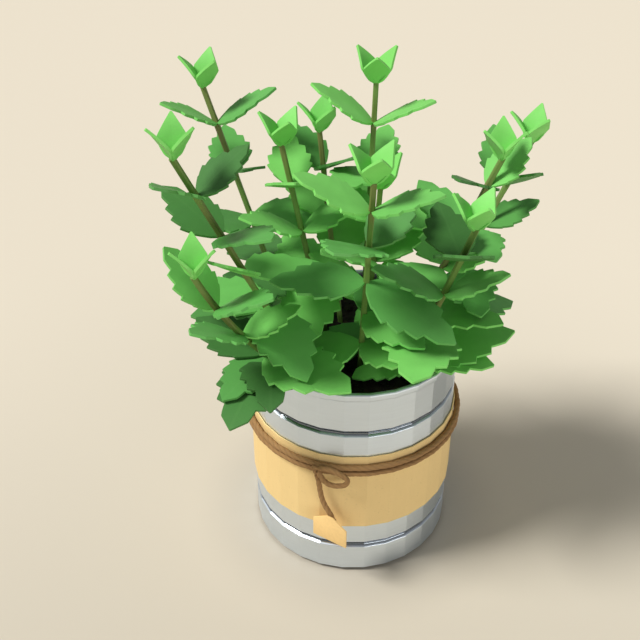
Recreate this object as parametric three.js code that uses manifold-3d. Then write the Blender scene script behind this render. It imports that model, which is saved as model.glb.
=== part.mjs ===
// A mint plant of eleven leafy stems, growing in a tin can dressed with a paper band, twine and a card tag.
// Millimetres, +Z up. The origin is the centre of the can's flat foot.
import * as THREE from 'three';
import { mergeVertices } from 'three/addons/utils/BufferGeometryUtils.js';
import Module from 'manifold-3d';

const wasm = await Module();
wasm.setup();

// Can
const CAN_SIDES = 28;
const CAN_TURN = THREE.MathUtils.degToRad(-4.0);
const WALL_RADIUS = 50;
const WALL_THICKNESS = 1;
const FOOT_CHAMFER = 2.4;
const FLOOR_THICKNESS = 1.2;
const GROOVE_HEIGHTS = [19.3, 92.6];
const GROOVE_DEPTH = 1.4;
const GROOVE_MOUTH = 3.8;
const GROOVE_LEDGE = 0.8;
const GROOVE_FLOOR = 0.9;
const RIM_TOP = 116.7;
const RIM_BOTTOM = 111.9;
const RIM_OVERHANG = 1.5;
const RIM_ROUNDING = 1.1;

// Paper band, twine and tag
const GAP = 0.3;
const BAND_BOTTOM = 33.3;
const BAND_TOP = 79;
const PAPER_THICKNESS = 0.6;
const TWINE_DIAMETER = 2.6;
const TURN_DIAMETER = 2.9;
const TWINE_SIDES = 8;
const TURN_HEIGHTS = [70.6, 74];
const TAG_WIDTH = 18.5;
const TAG_SIDE = 11;
const TAG_ROOF = 5;
const TAG_CLIP = 1.6;
const TAG_THICKNESS = 0.8;
const TAG_TURN = THREE.MathUtils.degToRad(-30);
const TAG_APEX = new THREE.Vector3(-9.2, -56.5, 46);

// Soil
const SOIL_LEVEL = 108;
const HOLE_DEPTH = 14;
const HOLE_CLEARANCE = 0.5;

// Stems: tip and root (where the stem enters the soil), distance from the tip to the first pair of leaves,
// spacing of the pairs, bearing of one leaf of the first pair and of one crown leaf, in degrees
// (0 is -Y, 90 is +X), how far the stem's middle bows from a straight line, and the leaves' green.
// A set leaf takes the place of its pair's leaf on that side, or is one more leaf at a distance from the tip.
const STEM_WIDTH = 2.4;
const STEM_RULES = [
  { name: 'mint_stem_01', tip: [-64.7, -58, 182], root: [-33, -20], first: 23.4, step: 24, turn: 56, crown: 69,
    bow: [-1.5, -4.5, 0], green: 'mid', set: [
      { pair: 1, turn: -117, rise: 42, length: 33.5 },
      { pair: 2, turn: -36, rise: 31, length: 35 },
      { pair: 3, turn: 51, rise: 6, length: 50 },
      { distance: 73, turn: -30, rise: -4, length: 34 },
      { distance: 75, turn: -18, rise: -9, length: 45, arch: 0.05 },
      { distance: 77, turn: 4, rise: 2, length: 39.5, arch: 0.12 }] },
  { name: 'mint_stem_02', tip: [6.2, -46, 219.3], root: [3, -18], first: 15.9, step: 20.5, turn: 80, crown: 13,
    green: 'light', set: [
      { pair: 1, turn: -91, rise: 27, length: 34.5 },
      { pair: 1, turn: 66, rise: 26, length: 33 },
      { pair: 2, turn: -23, rise: 26, length: 39 },
      { pair: 2, turn: 135, rise: 30, length: 31 },
      { pair: 3, turn: -86, rise: 1, length: 41 },
      { pair: 3, turn: 60, rise: -20, length: 46 },
      { pair: 4, turn: 47, rise: -1, length: 35 },
      { pair: 5, turn: 48, rise: 8, length: 37.5 }] },
  { name: 'mint_stem_03', tip: [48, -40, 196.2], root: [25, -19], first: 18.8, step: 22, turn: 9, crown: 18,
    green: 'dark', set: [
      { pair: 1, turn: -164, rise: 17, length: 33 },
      { pair: 1, turn: -1, rise: 34, length: 34.5 },
      { pair: 2, turn: 74, rise: 30, length: 31 },
      { pair: 3, turn: -10, rise: 7, length: 48 },
      { distance: 82, turn: 74, rise: 2, length: 36.5 },
      { pair: 4, turn: -66, rise: -8, length: 30 }] },
  { name: 'mint_stem_04', tip: [-71.2, -46, 228], root: [-26, -14], first: 21.7, step: 24, turn: 132, crown: 67,
    green: 'dark', set: [
      { pair: 1, turn: -25, rise: 32, length: 31.5 },
      { pair: 1, turn: 126, rise: 33, length: 29 },
      { pair: 2, turn: -122, rise: 24, length: 34 },
      { pair: 3, turn: -20, rise: 38, length: 34 },
      { pair: 4, turn: -113, rise: 0, length: 44.5 },
      { pair: 4, turn: 30, rise: -20, length: 41 }] },
  { name: 'mint_stem_05', tip: [61.1, -2, 208.8], root: [22, -2], first: 15.4, step: 22.5, turn: 132, crown: 58,
    green: 'dark', set: [
      { pair: 1, turn: -33, rise: 29, length: 29.5 },
      { pair: 1, turn: 125, rise: 37, length: 28.5 },
      { pair: 2, turn: -142, rise: 18, length: 33 },
      { pair: 2, turn: 19, rise: 12, length: 33.5 },
      { pair: 3, turn: -45, rise: 5, length: 42 },
      { pair: 3, turn: 87, rise: 25, length: 28 },
      { pair: 4, turn: 57, rise: 9, length: 42 }] },
  { name: 'mint_stem_06', tip: [10, 3, 191], root: [6, 8], first: 18, step: 22.5, turn: 45, crown: 0,
    green: 'light', set: [
      { pair: 1, turn: -112, rise: 28, length: 34 },
      { distance: 78, turn: -36, rise: -5, length: 36.5 }] },
  { name: 'mint_stem_07', tip: [-34.8, 20, 203], root: [-14, 8], first: 21.1, step: 22.5, turn: 7, crown: 23,
    green: 'light', set: [
      { pair: 1, turn: -173, rise: 30, length: 29.5 },
      { pair: 2, turn: -60, rise: 26, length: 34.5 }] },
  { name: 'mint_stem_08', tip: [77.6, 27, 202.7], root: [32, 6], first: 22, step: 22.5, turn: 26, crown: 32,
    green: 'dark', set: [
      { pair: 1, turn: -167, rise: 35, length: 30.5 },
      { pair: 1, turn: 17, rise: 35, length: 30.5 },
      { pair: 2, turn: 108, rise: 19, length: 28.5 },
      { pair: 3, turn: 11, rise: -4, length: 37.5 },
      { pair: 4, turn: 118, rise: -14, length: 46 }] },
  { name: 'mint_stem_09', tip: [-72.2, 43, 220.2], root: [-31, 12], first: 18.7, step: 23.5, turn: 108, crown: 43,
    green: 'mid', set: [
      { pair: 1, turn: -56, rise: 31, length: 31 },
      { pair: 1, turn: 89, rise: 33, length: 33 },
      { pair: 2, turn: -165, rise: 21, length: 29.5 },
      { pair: 2, turn: 21, rise: 27, length: 36 },
      { pair: 3, turn: -50, rise: 11, length: 38 },
      { pair: 5, turn: 132, rise: 2, length: 35 }] },
  { name: 'mint_stem_10', tip: [-18.4, 38, 201.5], root: [-7, 16], first: 18.5, step: 22.5, turn: 22, crown: 44,
    green: 'dark', set: [
      { pair: 1, turn: -135, rise: 26, length: 33.5 },
      { pair: 1, turn: 33, rise: 32, length: 31 },
      { pair: 2, turn: -126, rise: 18, length: 27.5 }] },
  { name: 'mint_stem_11', tip: [7.1, 37, 226.2], root: [4, 18], first: 19.7, step: 21, turn: 76, crown: 0,
    green: 'light', set: [
      { pair: 1, turn: -87, rise: 34, length: 34 },
      { pair: 1, turn: 62, rise: 30, length: 34 },
      { pair: 2, turn: 163, rise: 19, length: 28.5 }] },
];

// Leaves, listed for the pairs from the top of a stem down: rise above level and length
const LEAF_RISE = [30, 23, 3, 0, -3, -3];
const LEAF_LENGTH = [34.5, 37, 42, 48, 46, 42];
const LEAF_WIDTH = 0.67;
const LEAF_ARCH = 0.02;
const LEAF_BASE = 0.9;
const LEAF_POINT = 0.35;
const LEAF_OFFSET = 0.5;
const OUTLINE_SKEW = 0.72;
const OUTLINE_TAPER = 1.1;
const TEETH = 5;
const TOOTH_START = 0.06;
const TOOTH_END = 0.9;
const TOOTH_LEAN = 0.85;
const TOOTH_DEPTH = 0.05;
const BLADE_THICKNESS = 1.2;
const LEAST_PAIR_HEIGHT = 6;

// Crown of three young leaves, each outlined by places along it and the half widths there as shares of its width
const CROWN_LENGTH = 18.4;
const CROWN_WIDTH = 12.1;
const CROWN_OUTLINE = [[0, 0.08], [0.12, 0.32], [0.32, 0.46], [0.5, 0.5], [0.74, 0.27], [1, 0.03]];
const CROWN_RISE = 57;
const CROWN_ARCH = 0.05;
const CROWN_SINK = 1.5;

// How a leaf is bent clear of what stands near it
const BLADE_CLEARANCE = 2;
const EDGE_CLEARANCE = 0.9;
const STEM_CLEARANCE = 3.2;
const SOIL_CLEARANCE = 1.5;
const RIM_CLEARANCE = 1.6;
const SAMPLE_SPACING = 1.8;
const TURN_TRIES = [0, 7, -7, 14, -14, 21, -21, 30, -30, 40, -40];
const RISE_TRIES = [0, 6, -6, 12, -12, 18, -18, 26, 36];
const LENGTH_TRIES = [1, 0.88, 0.76];
const COST_OF_SHORTENING = 110;

const colours = {
  light: 0x78d25f,
  mid: 0x58a54e,
  dark: 0x397a37,
  tin: 0xbec3be,
  soil: 0x170d08,
  paper: 0xe6c188,
  twine: 0x8c6941,
  card: 0xf3cf87,
};

function material(colour, roughness, metalness = 0) {
  return new THREE.MeshStandardMaterial({ color: colour, roughness, metalness });
}

// A closed geometry as a solid with its faces pointing out
function solid(geometry) {
  const bare = geometry.clone();
  bare.deleteAttribute('normal');
  bare.deleteAttribute('uv');
  const merged = mergeVertices(bare, 1e-4);
  const places = merged.attributes.position.array;
  const triangles = [];
  let volume = 0;
  const a = new THREE.Vector3();
  const b = new THREE.Vector3();
  const c = new THREE.Vector3();
  for (let i = 0; i < merged.index.count; i += 3) {
    const [p, q, r] = [merged.index.getX(i), merged.index.getX(i + 1), merged.index.getX(i + 2)];
    if (p === q || q === r || r === p) continue;
    triangles.push(p, q, r);
    a.fromArray(places, 3 * p);
    b.fromArray(places, 3 * q);
    c.fromArray(places, 3 * r);
    volume += a.dot(b.cross(c));
  }
  if (volume < 0) triangles.reverse();
  return new wasm.Manifold(new wasm.Mesh({
    numProp: 3,
    vertProperties: new Float32Array(places),
    triVerts: new Uint32Array(triangles),
  }));
}

function geometryOf(body) {
  const mesh = body.getMesh();
  const geometry = new THREE.BufferGeometry();
  geometry.setAttribute('position', new THREE.BufferAttribute(mesh.vertProperties, 3));
  geometry.setIndex(new THREE.BufferAttribute(mesh.triVerts, 1));
  geometry.computeVertexNormals();
  return geometry;
}

function joined(bodies) {
  return bodies.reduce((whole, body) => whole.add(body));
}

// A profile of [radius, height] points turned round the can's axis, with the can's own flats
function turned(profile) {
  const points = profile.map(([radius, height]) => new THREE.Vector2(radius, height));
  return new THREE.LatheGeometry(points, CAN_SIDES).rotateX(Math.PI / 2).rotateZ(CAN_TURN);
}

function circle(radius, sides) {
  const points = [];
  for (let i = 0; i < sides; i += 1) {
    const angle = (2 * Math.PI * (i + 0.5)) / sides;
    points.push(new THREE.Vector2(radius * Math.cos(angle), radius * Math.sin(angle)));
  }
  return new THREE.Shape(points);
}

function tube(curve, radius, sides, steps) {
  return new THREE.ExtrudeGeometry(circle(radius, sides), { extrudePath: curve, steps, bevelEnabled: false });
}

// The wall's line from the foot up, moved in by an inset, with a pressed groove at each groove height:
// a low ledge below, a flat floor and a longer slope above
function wallLine(inset, bottom, top) {
  const line = [[WALL_RADIUS - inset, bottom]];
  for (const height of GROOVE_HEIGHTS) {
    const ledge = height - GROOVE_MOUTH / 2 - inset / 2;
    line.push([WALL_RADIUS - inset, ledge]);
    line.push([WALL_RADIUS - inset - GROOVE_DEPTH, ledge + GROOVE_LEDGE]);
    line.push([WALL_RADIUS - inset - GROOVE_DEPTH, grooveShoulder(height)]);
    line.push([WALL_RADIUS - inset, height + GROOVE_MOUTH / 2]);
  }
  line.push([WALL_RADIUS - inset, top]);
  return line;
}

function grooveShoulder(height) {
  return height - GROOVE_MOUTH / 2 + GROOVE_LEDGE + GROOVE_FLOOR;
}

function makeCan() {
  const bead = WALL_RADIUS + RIM_OVERHANG;
  const inner = WALL_RADIUS - WALL_THICKNESS;
  const rim = [
    [bead, RIM_BOTTOM + RIM_ROUNDING],
    [bead, RIM_TOP - RIM_ROUNDING],
    [bead - RIM_ROUNDING, RIM_TOP],
    [inner + RIM_ROUNDING / 2, RIM_TOP],
    [inner, RIM_TOP - RIM_ROUNDING],
  ];
  const inside = wallLine(WALL_THICKNESS, FLOOR_THICKNESS, RIM_TOP - 2 * RIM_ROUNDING).reverse();
  const foot = [[0, 0], [WALL_RADIUS - FOOT_CHAMFER, 0]];
  const profile = [...foot, ...wallLine(0, FOOT_CHAMFER, RIM_BOTTOM), ...rim, ...inside, [0, FLOOR_THICKNESS]];
  return turned(profile);
}

function makeBand() {
  const inner = WALL_RADIUS + GAP;
  const outer = inner + PAPER_THICKNESS;
  return turned([
    [inner, BAND_BOTTOM],
    [outer, BAND_BOTTOM],
    [outer, BAND_TOP],
    [inner, BAND_TOP],
    [inner, BAND_BOTTOM],
  ]);
}

function makeSoil(stems) {
  const inset = WALL_THICKNESS + GAP;
  const bottom = FLOOR_THICKNESS + GAP;
  const neck = WALL_RADIUS - inset - GROOVE_DEPTH;
  const shoulder = grooveShoulder(GROOVE_HEIGHTS[1]);
  const wide = [[WALL_RADIUS - inset, GROOVE_HEIGHTS[1] + GROOVE_MOUTH / 2], [WALL_RADIUS - inset, SOIL_LEVEL]];
  let body = solid(turned([[0, bottom], [neck, bottom], [neck, shoulder], ...wide, [0, SOIL_LEVEL]]));
  for (const stem of stems) {
    const into = new THREE.Vector3().copy(stem.foot).addScaledVector(stem.footAxis, -HOLE_CLEARANCE);
    const out = new THREE.Vector3().copy(stem.root).addScaledVector(stem.footAxis, HOLE_DEPTH / 2);
    const reach = STEM_WIDTH * Math.SQRT1_2 + HOLE_CLEARANCE;
    body = body.subtract(solid(tube(new THREE.LineCurve3(into, out), reach, 8, 1)));
  }
  return geometryOf(body);
}

// The loop of the bow and the free tail, as points on the front of the band
const LOOP_ROUTE = [
  [-15.4, -52.0, 72.9], [-11.9, -53.9, 74.6], [-8.7, -55.1, 74.8], [-5.4, -55.7, 73.4], [-2.6, -55.9, 71.2],
  [-1.4, -55.8, 68.7], [-2.6, -55.3, 66.0], [-6.0, -54.7, 64.6], [-9.5, -54.2, 64.8], [-12.2, -54.0, 66.8],
  [-13.8, -54.0, 69.6], [-15.2, -53.2, 72.2],
];
const TAIL_ROUTE = [
  [-15.7, -51.9, 68.5], [-15.5, -51.7, 67.0], [-15.1, -51.5, 65.4], [-14.9, -51.5, 63.2], [-14.6, -51.5, 61.0],
  [-14.4, -51.6, 58.8], [-14.0, -51.9, 56.7], [-13.6, -52.2, 54.6], [-13.0, -52.6, 52.6], [-12.2, -53.1, 50.6],
  [-11.2, -53.7, 48.8], [-10.1, -54.2, 47.0], [-9.1, -54.5, 45.0], [-8.4, -54.6, 42.9], [-8.1, -54.6, 40.7],
];
const KNOT_CENTRE = new THREE.Vector3(-15.8, -51.6, 72.8);
const KNOT_RADII = new THREE.Vector3(2.6, 2.2, 2.4);

function smooth(route) {
  return new THREE.CatmullRomCurve3(route.map((place) => new THREE.Vector3(...place)));
}

function makeTwine() {
  const radius = TURN_DIAMETER / 2;
  const ring = WALL_RADIUS + 2 * GAP + PAPER_THICKNESS + radius;
  const turns = TURN_HEIGHTS.map((height) => {
    const section = [];
    for (let i = 0; i <= TWINE_SIDES; i += 1) {
      const angle = (2 * Math.PI * (i + 0.5)) / TWINE_SIDES;
      section.push([ring + radius * Math.cos(angle), height + radius * Math.sin(angle)]);
    }
    return solid(turned(section));
  });
  const loop = solid(tube(smooth(LOOP_ROUTE), TWINE_DIAMETER / 2, TWINE_SIDES, 16));
  const lump = new THREE.SphereGeometry(1, 8, 6).scale(...KNOT_RADII.toArray());
  const knot = solid(lump.translate(...KNOT_CENTRE.toArray()));
  return geometryOf(joined([...turns, knot, loop]));
}

function makeTail() {
  return tube(smooth(TAIL_ROUTE), TWINE_DIAMETER / 2, TWINE_SIDES, 12);
}

// A card cut square below and to a clipped point above, hanging from its point
function makeTag() {
  const half = TAG_WIDTH / 2;
  const outline = new THREE.Shape([
    new THREE.Vector2(-half, -TAG_ROOF - TAG_SIDE),
    new THREE.Vector2(half, -TAG_ROOF - TAG_SIDE),
    new THREE.Vector2(half, -TAG_ROOF),
    new THREE.Vector2(TAG_CLIP, 0),
    new THREE.Vector2(-TAG_CLIP, 0),
    new THREE.Vector2(-half, -TAG_ROOF),
  ]);
  const card = new THREE.ExtrudeGeometry(outline, { depth: TAG_THICKNESS, bevelEnabled: false });
  return card.rotateX(Math.PI / 2).rotateZ(TAG_TURN).translate(...TAG_APEX.toArray());
}

function bearing(degrees) {
  const angle = THREE.MathUtils.degToRad(degrees);
  return new THREE.Vector3(Math.sin(angle), -Math.cos(angle), 0);
}

// Places along a toothed leaf and the half widths there: base, then a notch and a tooth tip in turn, then the point
function toothColumns(length) {
  const pitch = (TOOTH_END - TOOTH_START) / TEETH;
  const depth = (TOOTH_DEPTH * length) / 2;
  const smoothHalf = (along) => Math.sin(Math.PI * along ** OUTLINE_SKEW) ** OUTLINE_TAPER * length * LEAF_WIDTH / 2;
  const columns = [[0, LEAF_BASE]];
  for (let tooth = 0; tooth < TEETH; tooth += 1) {
    const notch = TOOTH_START + pitch * tooth;
    columns.push([notch, smoothHalf(notch) - (tooth ? depth : 0)]);
    columns.push([notch + TOOTH_LEAN * pitch, smoothHalf(notch + 0.6 * pitch) + depth]);
  }
  columns.push([1, LEAF_POINT]);
  return columns;
}

// A leaf's frame: its base just off the stem's axis, its three directions, its length, its outline and its arch
function leafFrame(node, turn, rise, length, columns, arch) {
  const level = bearing(turn);
  const angle = THREE.MathUtils.degToRad(rise);
  const along = level.clone().multiplyScalar(Math.cos(angle));
  along.z = Math.sin(angle);
  const across = new THREE.Vector3(-level.y, level.x, 0);
  const up = level.clone().multiplyScalar(-Math.sin(angle));
  up.z = Math.cos(angle);
  const base = node.clone().addScaledVector(along, LEAF_OFFSET);
  return { base, along, across, up, length, columns, arch };
}

function leafPoint(leaf, along, side, lift = 0) {
  const bend = 4 * leaf.arch * leaf.length * along * (1 - along) + lift;
  return leaf.base.clone()
    .addScaledVector(leaf.along, leaf.length * along)
    .addScaledVector(leaf.across, side)
    .addScaledVector(leaf.up, bend);
}

// The blade is a box of columns across the leaf, each moved to its place on the cut outline
function makeBlade(leaf) {
  const segments = leaf.columns.length - 1;
  const blade = new THREE.BoxGeometry(segments, 2, BLADE_THICKNESS, segments);
  const place = blade.attributes.position;
  for (let i = 0; i < place.count; i += 1) {
    const [along, half] = leaf.columns[Math.round(place.getX(i) + segments / 2)];
    const point = leafPoint(leaf, along, place.getY(i) * half, place.getZ(i));
    place.setXYZ(i, point.x, point.y, point.z);
  }
  return blade;
}

// Points spread over a leaf's middle surface, out to its edges
function leafSamples(leaf) {
  const samples = [];
  const rows = Math.ceil(leaf.length / SAMPLE_SPACING);
  for (let row = 2; row <= rows; row += 1) {
    const along = row / rows;
    const half = halfWidth(leaf, along);
    const lanes = Math.max(1, Math.ceil((2 * half) / SAMPLE_SPACING));
    for (let lane = 0; lane <= lanes; lane += 1) {
      samples.push(leafPoint(leaf, along, half * ((2 * lane) / lanes - 1)));
    }
  }
  return samples;
}

function halfWidth(leaf, along) {
  const next = Math.max(1, leaf.columns.findIndex(([place]) => place >= along));
  const [[from, halfBefore], [to, halfAfter]] = leaf.columns.slice(next - 1, next + 1);
  return THREE.MathUtils.mapLinear(along, from, to, halfBefore, halfAfter);
}

function touches(samples, leaf) {
  const offset = new THREE.Vector3();
  for (const sample of samples) {
    offset.subVectors(sample, leaf.base);
    const along = offset.dot(leaf.along) / leaf.length;
    const inside = Math.min(Math.max(along, 0), 1);
    if (Math.abs(along - inside) * leaf.length > EDGE_CLEARANCE) continue;
    if (Math.abs(offset.dot(leaf.across)) > halfWidth(leaf, inside) + EDGE_CLEARANCE) continue;
    const lift = offset.dot(leaf.up) - 4 * leaf.arch * leaf.length * inside * (1 - inside);
    if (Math.abs(lift) < BLADE_CLEARANCE) return true;
  }
  return false;
}

function nearStem(samples, stem) {
  const places = stem.places;
  const nearest = new THREE.Vector3();
  for (let i = 1; i < places.length; i += 1) {
    const line = new THREE.Line3(places[i - 1], places[i]);
    for (const sample of samples) {
      line.closestPointToPoint(sample, true, nearest);
      if (nearest.distanceTo(sample) < STEM_CLEARANCE) return true;
    }
  }
  return false;
}

// The soil, and the rim from the inside of the wall to the outside of the bead
function nearPot(samples) {
  for (const sample of samples) {
    const reach = Math.hypot(sample.x, sample.y);
    if (reach < WALL_RADIUS && sample.z < SOIL_LEVEL + SOIL_CLEARANCE) return true;
    const overRim = reach > WALL_RADIUS - WALL_THICKNESS - 2 && reach < WALL_RADIUS + RIM_OVERHANG + 2;
    if (overRim && sample.z < RIM_TOP + RIM_CLEARANCE) return true;
    if (reach <= WALL_RADIUS - WALL_THICKNESS - 2 || reach >= WALL_RADIUS + 5) continue;
    if (sample.z < RIM_TOP) return true;
  }
  return false;
}

function stemOf(given) {
  const rule = { bow: [0, 0, 0], set: [], ...given };
  const tip = new THREE.Vector3(...rule.tip);
  const root = new THREE.Vector3(rule.root[0], rule.root[1], SOIL_LEVEL);
  const middle = new THREE.Vector3().addVectors(tip, root).multiplyScalar(0.5);
  middle.addScaledVector(new THREE.Vector3(...rule.bow), 2);
  const curve = new THREE.QuadraticBezierCurve3(tip, middle, root);
  const footAxis = new THREE.Vector3().subVectors(middle, root).normalize();
  const foot = root.clone().addScaledVector(footAxis, -HOLE_DEPTH);
  const places = curve.getPoints(given.bow ? 8 : 1);
  return { rule, curve, tip, root, foot, footAxis, places, leaves: [] };
}

function crownLeaves(stem) {
  const base = stem.curve.getPointAt(CROWN_SINK / stem.curve.getLength());
  const columns = CROWN_OUTLINE.map(([along, share]) => [along, share * CROWN_WIDTH]);
  return [0, 120, 240].map((turn) => leafFrame(
    base, stem.rule.crown + turn, CROWN_RISE, CROWN_LENGTH, columns, CROWN_ARCH));
}

// Ways to move a leaf from where its pair's rule puts it, the smallest changes first
function leafTries() {
  const tries = [];
  for (const scale of LENGTH_TRIES) {
    for (const rise of RISE_TRIES) {
      for (const turn of TURN_TRIES) {
        const cost = COST_OF_SHORTENING * (1 - scale) + Math.abs(rise) + Math.abs(turn);
        tries.push({ scale, rise, turn, cost });
      }
    }
  }
  return tries.sort((a, b) => a.cost - b.cost);
}

// The first of the tries that is clear of the pot and of the other stems and their leaves
function placeLeaf(node, { turn, rise, length, arch = LEAF_ARCH }, stem) {
  for (const change of tries) {
    const size = length * change.scale;
    const leaf = leafFrame(node, turn + change.turn, rise + change.rise, size, toothColumns(size), arch);
    const samples = leafSamples(leaf);
    if (nearPot(samples)) continue;
    if (stems.some((other) => other !== stem && nearStem(samples, other))) continue;
    const near = placed.filter((other) => other.leaf.base.distanceTo(node) < other.leaf.length + size + 4);
    if (near.some((other) => other.stem !== stem
      && (touches(samples, other.leaf) || touches(other.samples, leaf)))) continue;
    return { leaf, samples, stem };
  }
  return null;
}

function pairDistance(stem, pair) {
  return stem.rule.first + stem.rule.step * (pair - 1);
}

function addLeaf(stem, distance, wanted) {
  const found = placeLeaf(stem.curve.getPointAt(distance / stem.curve.getLength()), wanted, stem);
  if (!found) return;
  placed.push(found);
  stem.leaves.push(found.leaf);
}

function isSet(stem, pair, turn) {
  const apart = (other) => THREE.MathUtils.degToRad(other.turn - turn);
  return stem.rule.set.some((leaf) => leaf.pair === pair && Math.cos(apart(leaf)) > 0);
}

function addPair(stem, pair) {
  const distance = pairDistance(stem, pair);
  if (distance > stem.curve.getLength() - LEAST_PAIR_HEIGHT) return;
  for (const side of [0, 180]) {
    const turn = stem.rule.turn + 90 * (pair - 1) + side;
    if (isSet(stem, pair, turn)) continue;
    addLeaf(stem, distance, { turn, rise: LEAF_RISE[pair - 1], length: LEAF_LENGTH[pair - 1] });
  }
}

const stems = STEM_RULES.map(stemOf);
const tries = leafTries();
const placed = [];
for (const stem of stems) {
  for (const leaf of crownLeaves(stem)) {
    placed.push({ leaf, samples: leafSamples(leaf), stem });
    stem.leaves.push(leaf);
  }
}
for (const stem of stems) {
  for (const leaf of stem.rule.set) addLeaf(stem, leaf.distance ?? pairDistance(stem, leaf.pair), leaf);
}
for (let pair = 1; pair <= LEAF_RISE.length; pair += 1) {
  for (const stem of stems) addPair(stem, pair);
}

function makeLeafyStem(stem) {
  const reach = STEM_WIDTH * Math.SQRT1_2;
  const straight = stem.places.length === 2;
  const line = new THREE.CatmullRomCurve3([stem.foot, ...stem.places.toReversed()]);
  const axis = straight ? new THREE.LineCurve3(stem.foot, stem.tip) : line;
  const stalk = solid(tube(axis, reach, 4, straight ? 1 : 10));
  const blades = stem.leaves.map((leaf) => solid(makeBlade(leaf)));
  return geometryOf(joined([stalk, ...blades]));
}

const group = new THREE.Group();

function addPart(name, geometry, finish) {
  const mesh = new THREE.Mesh(geometry, finish);
  mesh.name = name;
  group.add(mesh);
}

addPart('can', makeCan(), material(colours.tin, 0.35, 0.85));
addPart('soil', makeSoil(stems), material(colours.soil, 0.95));
addPart('paper_band', makeBand(), material(colours.paper, 0.8));
addPart('twine', makeTwine(), material(colours.twine, 0.9));
addPart('twine_tail', makeTail(), material(colours.twine, 0.9));
addPart('card_tag', makeTag(), material(colours.card, 0.75));
for (const stem of stems) {
  addPart(stem.rule.name, makeLeafyStem(stem), material(colours[stem.rule.green], 0.55));
}

export default group;
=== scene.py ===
# A potted mint: eleven leafy stems in soil, in a tin can dressed with a paper band, twine and a card tag.
# Metres, +Z up, the origin at the centre of the can's flat foot. The rule that places the leaves is
# written in millimetres, and its meshes are scaled by MM at the end.
import math

import bmesh
import bpy
import numpy as np
from bpy.props import FloatProperty, FloatVectorProperty, IntProperty, PointerProperty
from mathutils import Matrix, Vector, noise


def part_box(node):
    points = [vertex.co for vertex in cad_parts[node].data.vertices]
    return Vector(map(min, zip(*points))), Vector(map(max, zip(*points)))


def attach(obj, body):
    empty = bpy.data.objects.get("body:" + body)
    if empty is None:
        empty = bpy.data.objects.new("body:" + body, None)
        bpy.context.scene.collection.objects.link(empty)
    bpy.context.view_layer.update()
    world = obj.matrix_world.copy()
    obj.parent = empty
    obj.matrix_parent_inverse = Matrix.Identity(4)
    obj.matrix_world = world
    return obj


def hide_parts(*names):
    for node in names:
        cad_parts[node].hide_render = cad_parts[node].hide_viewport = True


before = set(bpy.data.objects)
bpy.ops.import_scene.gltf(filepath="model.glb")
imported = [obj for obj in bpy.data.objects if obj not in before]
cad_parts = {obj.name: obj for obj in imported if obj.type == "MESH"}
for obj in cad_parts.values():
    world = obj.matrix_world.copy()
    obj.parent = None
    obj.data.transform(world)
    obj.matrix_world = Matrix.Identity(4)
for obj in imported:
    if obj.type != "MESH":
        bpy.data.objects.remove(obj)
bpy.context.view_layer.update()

bl_info = {
    "name": "Potted mint",
    "version": (1, 0, 0),
    "blender": (4, 5, 0),
    "location": "3D View > Sidebar > Mint",
    "description": "Builds a mint plant in a tin can dressed with paper, twine and a tag",
    "category": "Add Mesh",
}

MM = 0.001
BODY = "root"

# The can's flats, which the band and the twine follow
CAN_SIDES = 28
CAN_TURN = math.radians(-4.0)

# Twine laid over the front of the band: the loop of the bow, and the free tail down to the tag
LOOP_ROUTE = [
    (-15.4, -52.0, 72.9), (-11.9, -53.9, 74.6), (-8.7, -55.1, 74.8), (-5.4, -55.7, 73.4),
    (-2.6, -55.9, 71.2), (-1.4, -55.8, 68.7), (-2.6, -55.3, 66.0), (-6.0, -54.7, 64.6),
    (-9.5, -54.2, 64.8), (-12.2, -54.0, 66.8), (-13.8, -54.0, 69.6), (-15.2, -53.2, 72.2),
]
TAIL_ROUTE = [
    (-15.7, -51.9, 68.5), (-15.5, -51.7, 67.0), (-15.1, -51.5, 65.4), (-14.9, -51.5, 63.2),
    (-14.6, -51.5, 61.0), (-14.4, -51.6, 58.8), (-14.0, -51.9, 56.7), (-13.6, -52.2, 54.6),
    (-13.0, -52.6, 52.6), (-12.2, -53.1, 50.6), (-11.2, -53.7, 48.8), (-10.1, -54.2, 47.0),
    (-9.1, -54.5, 45.0), (-8.4, -54.6, 42.9), (-8.1, -54.6, 40.7),
]
ROUTE_STEPS = 6
BOW_KNOT = (-15.8, -51.9, 72.6)
END_KNOT = (-8.1, -54.2, 40.2)
TURN_HEIGHTS = (70.6, 74)
TAG_APEX = (-9.2, -56.5, 46)

# Knots: size of the trefoil in metres, and thickness as a share of the twine's
BOW_KNOT_SIZE = 0.00062
BOW_KNOT_SHARE = 0.8
END_KNOT_SIZE = 0.00042
END_KNOT_SHARE = 0.5

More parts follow.
